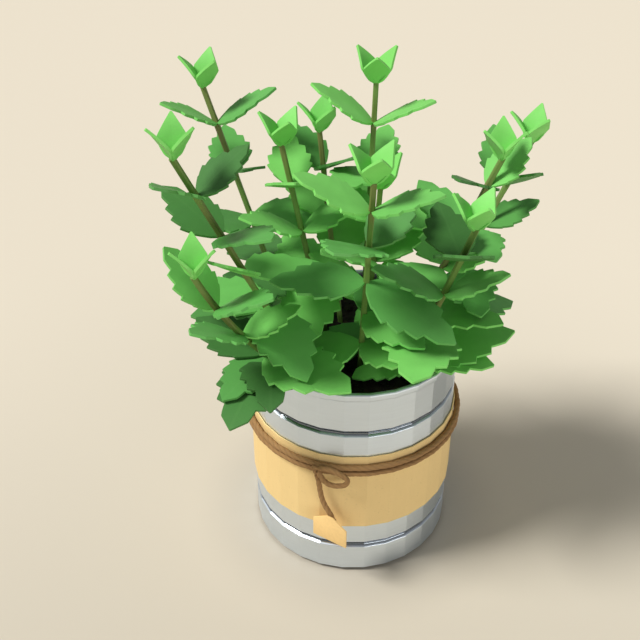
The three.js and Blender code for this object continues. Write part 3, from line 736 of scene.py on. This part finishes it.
def twine_line(bm, sizes, points, closed=False, scale=1.0):
    """Twine along a line of points, its strands twisted, and a whole number of times round a closed line."""
    lay = sizes.lay * scale
    if closed:
        whole = sum((b - a).length for a, b in zip(points, points[1:] + points[:1]))
        lay = whole / round(whole / lay)
    made = bmesh.new()
    section = strand_section(sizes, scale)
    sweep(made, section, frames_along(points, closed, 2 * math.pi / lay), closed)
    # How deep each point lies in a furrow, which the finish turns into painted shade
    furrow = made.verts.layers.float.new("furrow")
    uv = made.loops.layers.uv.new("UVMap")
    line = np.array([point[:] for point in points])
    deepest = scale * sizes.groove
    for vert in made.verts:
        nearest = np.linalg.norm(line - np.array(vert.co[:]), axis=1)
        vert[furrow] = min(1.0, max(0.0, (scale * sizes.diameter / 2 - nearest.min()) / deepest))
    for face in made.faces:
        for loop in face.loops:
            step = int(np.linalg.norm(line - np.array(loop.vert.co[:]), axis=1).argmin())
            loop[uv].uv = (step * FIBRE_STEP, loop.vert.co.z * FIBRE_RISE)
    shade(made, TWINE_SHARP_ANGLE)
    merge_into(bm, made)


def merge_into(bm, made):
    """Adds a finished bmesh to another."""
    mesh = bpy.data.meshes.new("made")
    made.to_mesh(mesh)
    made.free()
    bm.from_mesh(mesh)
    bpy.data.meshes.remove(mesh)


def turn_line(height, steps=7):
    """The centreline of one turn of twine: straight over each flat, and eased round the corners."""
    settings = bpy.context.scene.potted_mint
    gaps = 2 * settings.band.gap + settings.band.thickness
    ring = settings.can.radius + gaps + settings.twine.turn / 2
    corners = []
    for side in range(CAN_SIDES):
        angle = CAN_TURN + 2 * math.pi * side / CAN_SIDES
        corners.append(Vector((ring * math.sin(angle), -ring * math.cos(angle), height)))
    line = []
    for here, after in zip(corners, corners[1:] + corners[:1]):
        line.extend(here.lerp(after, step / steps) for step in range(steps))
    return [(line[i - 1] + line[i] * 2 + line[(i + 1) % len(line)]) / 4 for i in range(len(line))]


def knot_line(centre, size, steps=48):
    """A trefoil, the line of a simple knot pulled tight."""
    line = []
    for step in range(steps):
        t = 2 * math.pi * step / steps
        x = math.sin(t) + 2 * math.sin(2 * t)
        z = math.cos(t) - 2 * math.cos(2 * t)
        line.append(Vector(centre) + Vector((x, -1.3 * math.sin(3 * t), z)) * size)
    return line


def metres(points):
    return [Vector(point) * MM for point in points]


class MINT_OT_stage(bpy.types.Operator):
    """Set up the camera, the lights and the floor"""
    bl_idname = "mint.stage"
    bl_label = "Studio"

    def execute(self, context):
        stage = context.scene.potted_mint.stage
        self.add_camera(context.scene, stage)
        self.add_light(context.scene, stage)
        self.add_sky(context.scene, stage)
        self.add_floor(context.scene)
        context.scene.view_settings.view_transform = "Standard"
        return {"FINISHED"}

    def add_camera(self, scene, stage):
        camera = bpy.data.cameras.new("camera")
        camera.angle = stage.field
        camera.clip_start = 0.01
        camera.clip_end = 20
        holder = bpy.data.objects.new("camera", camera)
        holder.location = stage.place
        holder.rotation_euler = (math.pi / 2 - stage.pitch, 0, stage.yaw)
        scene.collection.objects.link(holder)
        scene.camera = holder

    def add_light(self, scene, stage):
        key = bpy.data.lights.new("key", "SUN")
        key.energy = stage.key
        key.angle = stage.key_size
        key.color = scene.potted_mint.colours.sunlight
        level = math.cos(stage.key_height)
        toward = Vector((math.sin(stage.key_bearing) * level, -math.cos(stage.key_bearing) * level,
                         math.sin(stage.key_height)))
        self.hang(scene, key, toward * 2, toward)
        fill = bpy.data.lights.new("fill", "AREA")
        fill.shape = "RECTANGLE"
        fill.size = 1.2
        fill.size_y = 0.5
        fill.energy = stage.fill
        place = Vector(stage.fill_place)
        self.hang(scene, fill, place, place - Vector((0, 0, 0.1)))

    def hang(self, scene, light, place, toward):
        holder = bpy.data.objects.new(light.name, light)
        holder.location = place
        holder.rotation_euler = toward.to_track_quat("Z", "Y").to_euler()
        scene.collection.objects.link(holder)

    def add_sky(self, scene, stage):
        world = bpy.data.worlds.new("studio")
        world.use_nodes = True
        sky = world.node_tree.nodes["Background"]
        sky.inputs["Color"].default_value = (1.0, 1.0, 1.0, 1.0)
        sky.inputs["Strength"].default_value = stage.sky
        scene.world = world

    def add_floor(self, scene):
        bm = bmesh.new()
        bmesh.ops.create_circle(bm, cap_ends=True, segments=96, radius=scene.potted_mint.stage.floor)
        mesh = bpy.data.meshes.new("studio_floor")
        bm.to_mesh(mesh)
        bm.free()
        mesh.materials.append(floor_finish(scene.potted_mint.colours))
        floor = bpy.data.objects.new("studio_floor", mesh)
        scene.collection.objects.link(floor)


class MINT_OT_tag_and_tail(bpy.types.Operator):
    """Hang the card tag on the free tail of the twine"""
    bl_idname = "mint.tag_and_tail"
    bl_label = "Tag on its twine"

    def execute(self, context):
        settings = context.scene.potted_mint
        finish = twine_finish(settings.colours)
        line = smooth_route(metres(TAIL_ROUTE + [END_KNOT]), ROUTE_STEPS)
        bm = bmesh.new()
        twine_line(bm, settings.twine, line)
        tail = add_piece("twine_free_end", bm, [finish], ["twine_tail"])
        bm = bmesh.new()
        twine_line(bm, settings.twine, knot_line(Vector(END_KNOT) * MM, END_KNOT_SIZE), True, END_KNOT_SHARE)
        knot = add_piece("tail_knot", bm, [finish])
        tag = self.add_tag(settings)
        return {"FINISHED"}

    def add_tag(self, settings):
        """A card cut square below and to a clipped point above, hanging from its point."""
        sizes = settings.tag
        half = sizes.width / 2
        foot = -sizes.roof - sizes.side
        outline = [(-half, foot), (half, foot), (half, -sizes.roof), (sizes.clip, 0), (-sizes.clip, 0),
                   (-half, -sizes.roof)]
        bm = bmesh.new()
        face = bm.faces.new([bm.verts.new((x, 0, z)) for x, z in outline])
        grown = bmesh.ops.extrude_face_region(bm, geom=[face])["geom"]
        front = [part for part in grown if isinstance(part, bmesh.types.BMVert)]
        bmesh.ops.translate(bm, verts=front, vec=(0, -sizes.thickness, 0))
        bmesh.ops.recalc_face_normals(bm, faces=bm.faces)
        bmesh.ops.bevel(bm, geom=bm.edges[:], offset=CUT_EDGE, affect="EDGES", segments=2, profile=0.5,
                        material=-1)
        place = Matrix.Translation(Vector(TAG_APEX) * MM) @ Matrix.Rotation(sizes.turn, 4, "Z")
        bmesh.ops.transform(bm, matrix=place, verts=bm.verts)
        shade(bm)
        return add_piece("tag", bm, [card_finish(settings.colours)], ["card_tag"])


class MINT_OT_twine(bpy.types.Operator):
    """Wind the twine twice round the band, and tie its bow"""
    bl_idname = "mint.twine"
    bl_label = "Twine and bow"

    def execute(self, context):
        settings = context.scene.potted_mint
        bm = bmesh.new()
        scale = settings.twine.turn / settings.twine.diameter
        for height in TURN_HEIGHTS:
            twine_line(bm, settings.twine, turn_line(height * MM), True, scale)
        twine_line(bm, settings.twine, smooth_route(metres(LOOP_ROUTE), ROUTE_STEPS))
        twine_line(bm, settings.twine, knot_line(Vector(BOW_KNOT) * MM, BOW_KNOT_SIZE), True, BOW_KNOT_SHARE)
        add_piece("jute_twine", bm, [twine_finish(settings.colours)], ["twine"])
        return {"FINISHED"}


class MINT_OT_can(bpy.types.Operator):
    """Press the tin can, with its two grooves and its rolled rim"""
    bl_idname = "mint.can"
    bl_label = "Tin can"

    def execute(self, context):
        settings = context.scene.potted_mint
        bm = spun(rounded(self.profile(settings.can)))
        shade(bm, TIN_SHARP_ANGLE)
        for edge in bm.edges:
            if edge.smooth and abs(edge.verts[0].co.z - edge.verts[1].co.z) > 1e-5:
                edge.smooth = False
        add_piece("tin_can", bm, [tin_finish(settings.colours, settings.can)], ["can"])
        return {"FINISHED"}

    def wall_line(self, sizes, inset, bottom, top):
        """The wall's line from the foot up, with its pressed grooves, moved in by an inset."""
        line = [(sizes.radius - inset, bottom, sizes.edge)]
        for height in (sizes.low_groove, sizes.high_groove):
            ledge = height - sizes.groove_mouth / 2
            shoulder = ledge + sizes.groove_ledge + sizes.groove_floor
            ledge -= inset / 2
            line.append((sizes.radius - inset, ledge, sizes.edge))
            line.append((sizes.radius - inset - sizes.groove_depth, ledge + sizes.groove_ledge, sizes.edge))
            line.append((sizes.radius - inset - sizes.groove_depth, shoulder, sizes.edge))
            line.append((sizes.radius - inset, height + sizes.groove_mouth / 2, sizes.edge))
        line.append((sizes.radius - inset, top, sizes.edge))
        return line

    def profile(self, sizes):
        bead = sizes.radius + sizes.overhang
        inner = sizes.radius - sizes.wall
        roll = (sizes.rim_top - sizes.rim_bottom) * 0.24
        foot = [(0, 0, 0), (sizes.radius - sizes.chamfer, 0, sizes.edge)]
        rim = [(bead, sizes.rim_bottom + roll, roll * 0.8), (bead, sizes.rim_top, roll),
               (inner, sizes.rim_top, roll)]
        inside = self.wall_line(sizes, sizes.wall, sizes.floor, sizes.rim_bottom)[::-1]
        outside = self.wall_line(sizes, 0, sizes.chamfer, sizes.rim_bottom)
        return foot + outside + rim + inside + [(0, sizes.floor, 0)]


class MINT_OT_band(bpy.types.Operator):
    """Wrap the paper band round the can"""
    bl_idname = "mint.band"
    bl_label = "Paper band"

    def execute(self, context):
        settings = context.scene.potted_mint
        sizes = settings.band
        inner = settings.can.radius + sizes.gap
        outer = inner + sizes.thickness
        section = [(inner, sizes.bottom), (outer, sizes.bottom), (outer, sizes.top), (inner, sizes.top)]
        bm = spun(section, closed=True)
        self.raise_flap(bm, sizes)
        rings = [edge for edge in bm.edges if abs(edge.verts[0].co.z - edge.verts[1].co.z) < 1e-6]
        bmesh.ops.bevel(bm, geom=rings, offset=CUT_EDGE, affect="EDGES", segments=2, profile=0.5, material=-1)
        shade(bm, PAPER_SHARP_ANGLE)
        add_piece("kraft_band", bm, [paper_finish(settings.colours)], ["paper_band"])
        return {"FINISHED"}

    def raise_flap(self, bm, sizes):
        """The glued end of the paper, a step on one flat at the back."""
        back = max(bm.faces, key=lambda face: face.calc_center_median().y)
        bmesh.ops.inset_individual(bm, faces=[back], thickness=0.0)
        bmesh.ops.translate(bm, verts=back.verts, vec=back.normal * sizes.flap)


class MINT_OT_soil(bpy.types.Operator):
    """Fill the can with soil and scatter crumbs on it"""
    bl_idname = "mint.soil"
    bl_label = "Soil"

    def execute(self, context):
        settings = context.scene.potted_mint
        sizes = settings.soil
        bm = self.fill(settings)
        draws = np.random.RandomState(sizes.seed)
        for _ in range(sizes.crumbs):
            self.add_crumb(bm, sizes, draws)
        for face in bm.faces:
            face.smooth = True
        add_piece("potting_soil", bm, [soil_finish(settings.colours)], ["soil"])
        return {"FINISHED"}

    def fill(self, settings):
        """The soil inside the can: a plain body with a crumbly top, banked up round each stem."""
        sizes = settings.soil
        can = settings.can
        neck = sizes.radius - can.groove_depth
        bottom = can.floor + settings.band.gap
        shoulder = can.high_groove + can.groove_mouth / 2
        top = [(sizes.radius * ring / SOIL_RINGS, sizes.level) for ring in range(SOIL_RINGS, -1, -1)]
        slope = shoulder - can.groove_mouth + can.groove_ledge + can.groove_floor
        body = [(0, bottom), (neck, bottom), (neck, slope), (sizes.radius, shoulder)]
        bm = spun(body + top, sides=SOIL_SIDES)
        roots = [Vector((*rule["root"], SOIL_LEVEL)) * MM for rule in STEM_RULES]
        for vert in bm.verts:
            if vert.co.z < sizes.level - MM * 0.1:
                continue
            place = Vector((vert.co.x, vert.co.y, 0))
            lumps = noise.fractal(place * 95, 1.0, 2.0, 4) * 0.7 + noise.noise(place * 420) * 0.35
            nearest = min((vert.co - root).length for root in roots)
            bank = math.exp(-(nearest / BANK_SPREAD) ** 2)
            vert.co.z += sizes.swell * (lumps * 0.6 + bank * 0.7 - 0.35)
        return bm

    def add_crumb(self, bm, sizes, draws):
        reach = (sizes.radius - 0.0022) * math.sqrt(draws.rand())
        angle = 2 * math.pi * draws.rand()
        size = sizes.crumb * (0.25 + 0.75 * draws.rand() ** 2.5)
        place = Vector((reach * math.cos(angle), reach * math.sin(angle), sizes.level - size * 0.35))
        made = bmesh.ops.create_icosphere(bm, subdivisions=1, radius=size)["verts"]
        stretch = Matrix.Diagonal((0.75 + 0.5 * draws.rand(), 0.75 + 0.5 * draws.rand(), 0.6, 1))
        turn = Matrix.Rotation(2 * math.pi * draws.rand(), 4, "Z") @ Matrix.Rotation(draws.rand(), 4, "X")
        for vert in made:
            vert.co *= 0.85 + 0.3 * draws.rand()
        bmesh.ops.transform(bm, matrix=Matrix.Translation(place) @ turn @ stretch, verts=made)


def bearing(degrees):
    angle = math.radians(degrees)
    return np.array([math.sin(angle), -math.cos(angle), 0.0])


def tooth_columns(length):
    """Places along a toothed leaf and half widths there: base, notches and tooth tips by turns, and point."""
    pitch = (TOOTH_END - TOOTH_START) / TEETH
    depth = (TOOTH_DEPTH * length) / 2

    def smooth_half(along):
        return math.sin(math.pi * along ** OUTLINE_SKEW) ** OUTLINE_TAPER * length * LEAF_WIDTH / 2

    columns = [(0, LEAF_BASE)]
    for tooth in range(TEETH):
        notch = TOOTH_START + pitch * tooth
        columns.append((notch, smooth_half(notch) - (depth if tooth else 0)))
        columns.append((notch + TOOTH_LEAN * pitch, smooth_half(notch + TOOTH_CREST * pitch) + depth))
    columns.append((1, LEAF_POINT))
    return columns


class Leaf:
    """A leaf's frame: its base just off the stem's axis, its three directions, length, outline and arch."""

    def __init__(self, node, turn, rise, length, columns, arch):
        level = bearing(turn)
        angle = math.radians(rise)
        self.along = level * math.cos(angle) + np.array([0, 0, math.sin(angle)])
        self.across = np.array([-level[1], level[0], 0.0])
        self.up = level * -math.sin(angle) + np.array([0, 0, math.cos(angle)])
        self.base = node + self.along * LEAF_OFFSET
        self.length = length
        self.columns = columns
        self.places, self.halves = np.array(columns, float).T
        self.arch = arch
        self.tone = YOUNG_GREEN
        self.samples = self.spread_samples()

    def half_width(self, along):
        return np.interp(along, self.places, self.halves)

    def bend(self, along):
        return 4 * self.arch * self.length * along * (1 - along)

    def spread_samples(self):
        """Points spread over the leaf's middle surface, out to its edges."""
        samples = []
        rows = math.ceil(self.length / SAMPLE_SPACING)
        for row in range(2, rows + 1):
            along = row / rows
            half = float(self.half_width(along))
            lanes = max(1, math.ceil(2 * half / SAMPLE_SPACING))
            side = half * (2 * np.arange(lanes + 1) / lanes - 1)
            middle = self.base + self.along * (self.length * along) + self.up * self.bend(along)
            samples.append(middle + np.outer(side, self.across))
        return np.vstack(samples)

    def is_touched_by(self, samples):
        offset = samples - self.base
        along = offset @ self.along / self.length
        inside = np.clip(along, 0, 1)
        near = np.abs(along - inside) * self.length <= EDGE_CLEARANCE
        near &= np.abs(offset @ self.across) <= self.half_width(inside) + EDGE_CLEARANCE
        lift = offset @ self.up - self.bend(inside)
        return bool((near & (np.abs(lift) < BLADE_CLEARANCE)).any())

    def is_near_pot(self):
        """Near the soil, or the rim from the inside of the wall to the outside of the bead."""
        reach = np.hypot(self.samples[:, 0], self.samples[:, 1])
        height = self.samples[:, 2]
        outside = reach > WALL_RADIUS - WALL_THICKNESS - RIM_MARGIN
        in_soil = (reach < WALL_RADIUS) & (height < SOIL_LEVEL + SOIL_CLEARANCE)
        over_rim = outside & (reach < WALL_RADIUS + RIM_OVERHANG + RIM_MARGIN)
        on_rim = over_rim & (height < RIM_TOP + RIM_CLEARANCE)
        beside = outside & (reach < WALL_RADIUS + WALL_MARGIN) & (height < RIM_TOP)
        return bool((in_soil | on_rim | beside).any())


class Stem:
    """A stem's line from its tip to its root, and the leaves that grow on it."""

    def __init__(self, rule):
        self.rule = {"bow": (0, 0, 0), "set": [], **rule}
        self.tip = np.array(rule["tip"], float)
        self.root = np.array([*rule["root"], SOIL_LEVEL], float)
        self.middle = (self.tip + self.root) * 0.5 + np.array(self.rule["bow"]) * 2
        axis = self.middle - self.root
        self.foot = self.root - axis / np.linalg.norm(axis) * HOLE_DEPTH
        steps = BOW_STEPS if "bow" in rule else 1
        self.places = [self.at(step / steps) for step in range(steps + 1)]
        line = np.array([self.at(step / LINE_STEPS) for step in range(LINE_STEPS + 1)])
        self.lengths = np.concatenate([[0], np.cumsum(np.linalg.norm(np.diff(line, axis=0), axis=1))])
        self.leaves = []

    def at(self, t):
        return self.tip * (1 - t) ** 2 + self.middle * 2 * t * (1 - t) + self.root * t ** 2

    def at_distance(self, distance):
        return self.at(float(np.interp(distance, self.lengths, np.arange(LINE_STEPS + 1) / LINE_STEPS)))

    def is_near(self, samples):
        for start, end in zip(self.places, self.places[1:]):
            line = end - start
            share = np.clip((samples - start) @ line / (line @ line), 0, 1)
            nearest = start + np.outer(share, line)
            if (np.linalg.norm(nearest - samples, axis=1) < STEM_CLEARANCE).any():
                return True
        return False

    def pair_distance(self, pair):
        return self.rule["first"] + self.rule["step"] * (pair - 1)

    def is_set(self, pair, turn):
        return any(leaf.get("pair") == pair and math.cos(math.radians(leaf["turn"] - turn)) > 0
                   for leaf in self.rule["set"])


def leaf_tries():
    """Ways to move a leaf from where its pair's rule puts it, the smallest changes first."""
    tries = []
    for scale in LENGTH_TRIES:
        for rise in RISE_TRIES:
            for turn in TURN_TRIES:
                cost = COST_OF_SHORTENING * (1 - scale) + abs(rise) + abs(turn)
                tries.append((cost, scale, rise, turn))
    return sorted(tries, key=lambda change: change[0])


def place_leaf(node, wanted, stem, stems, tries):
    """The first of the tries that is clear of the pot and of the other stems and their leaves."""
    others = [other for other in stems if other is not stem]
    for _, scale, rise, turn in tries:
        size = wanted["length"] * scale
        leaf = Leaf(node, wanted["turn"] + turn, wanted["rise"] + rise, size, tooth_columns(size),
                    wanted.get("arch", LEAF_ARCH))
        if leaf.is_near_pot() or any(other.is_near(leaf.samples) for other in others):
            continue
        near = [old for other in others for old in other.leaves
                if np.linalg.norm(old.base - node) < old.length + size + LEAF_MARGIN]
        if not any(old.is_touched_by(leaf.samples) or leaf.is_touched_by(old.samples) for old in near):
            return leaf
    return None


def add_leaf(stem, distance, wanted, green, stems, tries):
    leaf = place_leaf(stem.at_distance(distance), wanted, stem, stems, tries)
    if leaf:
        # The tone holds the leaf's own green together with painted light and shade
        leaf.tone = green / 10
        stem.leaves.append(leaf)


def pair_green_and_light(stem, pair):
    return int(stem.rule["greens_and_light"][pair - 1])


def add_pair(stem, pair, stems, tries):
    distance = stem.pair_distance(pair)
    if distance > stem.lengths[-1] - LEAST_PAIR_HEIGHT:
        return
    for side in (0, 180):
        turn = stem.rule["turn"] + 90 * (pair - 1) + side
        if not stem.is_set(pair, turn):
            wanted = dict(turn=turn, rise=LEAF_RISE[pair - 1], length=LEAF_LENGTH[pair - 1])
            add_leaf(stem, distance, wanted, pair_green_and_light(stem, pair), stems, tries)


def grown_stems():
    """All the stems with their leaves: crowns first, then set leaves, then the pairs from the top down."""
    stems = [Stem(rule) for rule in STEM_RULES]
    tries = leaf_tries()
    crown_columns = [(along, share * CROWN_WIDTH) for along, share in CROWN_OUTLINE]
    for stem in stems:
        base = stem.at_distance(CROWN_SINK)
        for turn in (0, 120, 240):
            stem.leaves.append(Leaf(base, stem.rule["crown"] + turn, CROWN_RISE, CROWN_LENGTH,
                                    crown_columns, CROWN_ARCH))
    for stem in stems:
        for wanted in stem.rule["set"]:
            distance = wanted.get("distance") or stem.pair_distance(wanted["pair"])
            green = wanted["green"] if "green" in wanted else pair_green_and_light(stem, wanted["pair"])
            add_leaf(stem, distance, wanted, green, stems, tries)
    for pair in range(1, len(LEAF_RISE) + 1):
        for stem in stems:
            add_pair(stem, pair, stems, tries)
    return stems


def fine_columns(leaf):
    """The outline's columns with steps between them: teeth bulge, and young leaves have small cuts."""
    young = leaf.tone == YOUNG_GREEN
    fine = []
    last = len(leaf.columns) - 2
    for i, ((from_along, from_half), (to_along, to_half)) in enumerate(zip(leaf.columns, leaf.columns[1:])):
        rising = not young and i % 2 == 1 and i != last
        steps = RISE_STEPS if rising or young else 1
        if i == last:
            steps = TIP_STEPS
        bulge = TOOTH_BULGE if rising else 0.0
        cut = YOUNG_TOOTH if young and 0 < i < last else 0.0
        for step in range(steps):
            share = step / steps
            half = from_half + (to_half - from_half) * share + bulge * math.sin(math.pi * share)
            half -= cut * (1 - share)
            fine.append((from_along + (to_along - from_along) * share, half))
    fine.append(leaf.columns[-1])
    return fine


class MINT_OT_leafy_stems(bpy.types.Operator):
    """Grow the leafy stems"""
    bl_idname = "mint.leafy_stems"
    bl_label = "Leafy stems"

    def execute(self, context):
        settings = context.scene.potted_mint
        self.sizes = settings.leaf
        self.draws = np.random.RandomState(self.sizes.seed)
        finishes = [leaf_finish(settings.colours), stem_finish(settings.colours)]
        for stem in grown_stems():
            bm = bmesh.new()
            for leaf in stem.leaves:
                self.add_blade(bm, leaf)
            self.add_stalk(bm, stem)
            name = stem.rule["name"]
            add_piece("leafy_" + name, bm, finishes, [name])
        return {"FINISHED"}

    def add_blade(self, bm, leaf):
        """A thin toothed blade, a little folded along its midrib and waved at its margins."""
        columns = fine_columns(leaf)
        count = len(columns) - 1
        made = bmesh.new()
        bmesh.ops.create_grid(made, x_segments=count, y_segments=BLADE_LANES, size=0.5)
        phase = 2 * math.pi * self.draws.rand()
        young = leaf.tone == YOUNG_GREEN
        fold = MIDRIB_FOLD * (YOUNG_FOLD if young else 1.0)
        widest = max(half for _, half in columns)
        for vert in made.verts:
            along, half = columns[round((vert.co.x + 0.5) * count)]
            lane = 2 * vert.co.y
            fade = math.sin(math.pi * min(1.0, along * 1.02)) ** 0.7 if along < 0.98 else 0.0
            aside = lane * half / widest
            lift = leaf.bend(along) + fade * fold * (math.sqrt(aside ** 2 + 0.01) - 0.5 * half / widest)
            if not young:
                lift += fade * MARGIN_WAVE * math.sin(2 * math.pi * along * MARGIN_WAVES + phase) * aside ** 2
            vert.co = (along * leaf.length, lane * half, lift)
        self.thicken(made)
        self.mark(made, leaf, widest)
        place = np.eye(4)
        place[:3, 0] = leaf.along
        place[:3, 1] = leaf.across
        place[:3, 2] = leaf.up
        place[:3, 3] = leaf.base
        bmesh.ops.transform(made, matrix=Matrix.Scale(MM, 4) @ Matrix(place.tolist()), verts=made.verts)
        merge_into(bm, made)

    def thicken(self, made):
        """Gives the blade its thickness, half to each side, and slopes its edges."""
        thickness = self.sizes.thickness / MM
        bmesh.ops.recalc_face_normals(made, faces=made.faces)
        bmesh.ops.translate(made, verts=made.verts, vec=(0, 0, thickness / 2))
        bmesh.ops.solidify(made, geom=made.faces[:], thickness=thickness)
        bmesh.ops.recalc_face_normals(made, faces=made.faces)
        rim = [edge for edge in made.edges
               if edge.calc_face_angle(0) > math.radians(60)
               and max(abs(face.normal.z) for face in edge.link_faces) > 0.6]
        bmesh.ops.bevel(made, geom=rim, offset=self.sizes.rim / MM, affect="EDGES", segments=1, profile=0.5,
                        material=-1, clamp_overlap=True)
        shade(made)

    def mark(self, made, leaf, widest):
        """The blade's own coordinates for its veins, and the tone of its green."""
        uv = made.loops.layers.uv.new("UVMap")
        tone = made.verts.layers.float.new("tone")
        green = leaf.tone + TONE_SPREAD * (self.draws.rand() - 0.5)
        for vert in made.verts:
            vert[tone] = green
        for face in made.faces:
            for loop in face.loops:
                x, y, _ = loop.vert.co
                loop[uv].uv = (x / leaf.length, 0.5 + 0.5 * y / widest)

    def add_stalk(self, bm, stem):
        """The square stalk from below the soil to the crown, swollen where each pair of leaves grows."""
        length = stem.lengths[-1]
        steps = round(length / STALK_STEP)
        distances = [length * step / steps for step in range(steps, -1, -1)]
        points = [Vector(stem.foot)] + [Vector(stem.at_distance(distance)) for distance in distances]
        knuckles = [stem.pair_distance(pair) for pair in range(1, len(LEAF_RISE) + 1)]
        widths = [1.0]
        for distance in distances:
            swelling = sum(math.exp(-((distance - knuckle) / KNUCKLE_SPREAD) ** 2) for knuckle in knuckles)
            widths.append(1 + self.sizes.knuckle * swelling)
        made = bmesh.new()
        sweep(made, self.square_section(), frames_along(points, widths=widths))
        for face in made.faces:
            face.material_index = 1
        shade(made)
        bmesh.ops.scale(made, vec=(MM, MM, MM), verts=made.verts)
        merge_into(bm, made)

    def square_section(self):
        """A square with a corner to the front and its corners eased."""
        half = STEM_WIDTH * math.sqrt(0.5)
        section = []
        for corner in range(4):
            angle = math.pi / 2 * corner
            outward = Vector((math.cos(angle), math.sin(angle)))
            aside = Vector((-outward.y, outward.x)) * STEM_EASE
            middle = outward * (half - STEM_EASE)
            section.extend([(middle - aside)[:], (middle + aside)[:]])
        return section


class MINT_PT_panel(bpy.types.Panel):
    """Builds the potted mint piece by piece"""
    bl_idname = "MINT_PT_panel"
    bl_label = "Potted mint"
    bl_space_type = "VIEW_3D"
    bl_region_type = "UI"
    bl_category = "Mint"

    def draw(self, context):
        for operator in OPERATORS:
            self.layout.operator(operator.bl_idname)


SETTINGS = (CanSizes, BandSizes, TwineSizes, TagSizes, SoilSizes, LeafSizes, MintColours, StageSettings,
            MintSettings)
OPERATORS = (MINT_OT_stage, MINT_OT_tag_and_tail, MINT_OT_twine, MINT_OT_can, MINT_OT_band, MINT_OT_soil,
             MINT_OT_leafy_stems)


def register():
    for made_class in (*SETTINGS, *OPERATORS, MINT_PT_panel):
        bpy.utils.register_class(made_class)
    bpy.types.Scene.potted_mint = PointerProperty(type=MintSettings)


def unregister():
    del bpy.types.Scene.potted_mint
    for made_class in reversed((*SETTINGS, *OPERATORS, MINT_PT_panel)):
        bpy.utils.unregister_class(made_class)


def main():
    register()
    bpy.ops.mint.stage()
    bpy.ops.mint.tag_and_tail()
    bpy.ops.mint.twine()
    bpy.ops.mint.can()
    bpy.ops.mint.band()
    bpy.ops.mint.soil()
    bpy.ops.mint.leafy_stems()


if __name__ == "__main__":
    main()
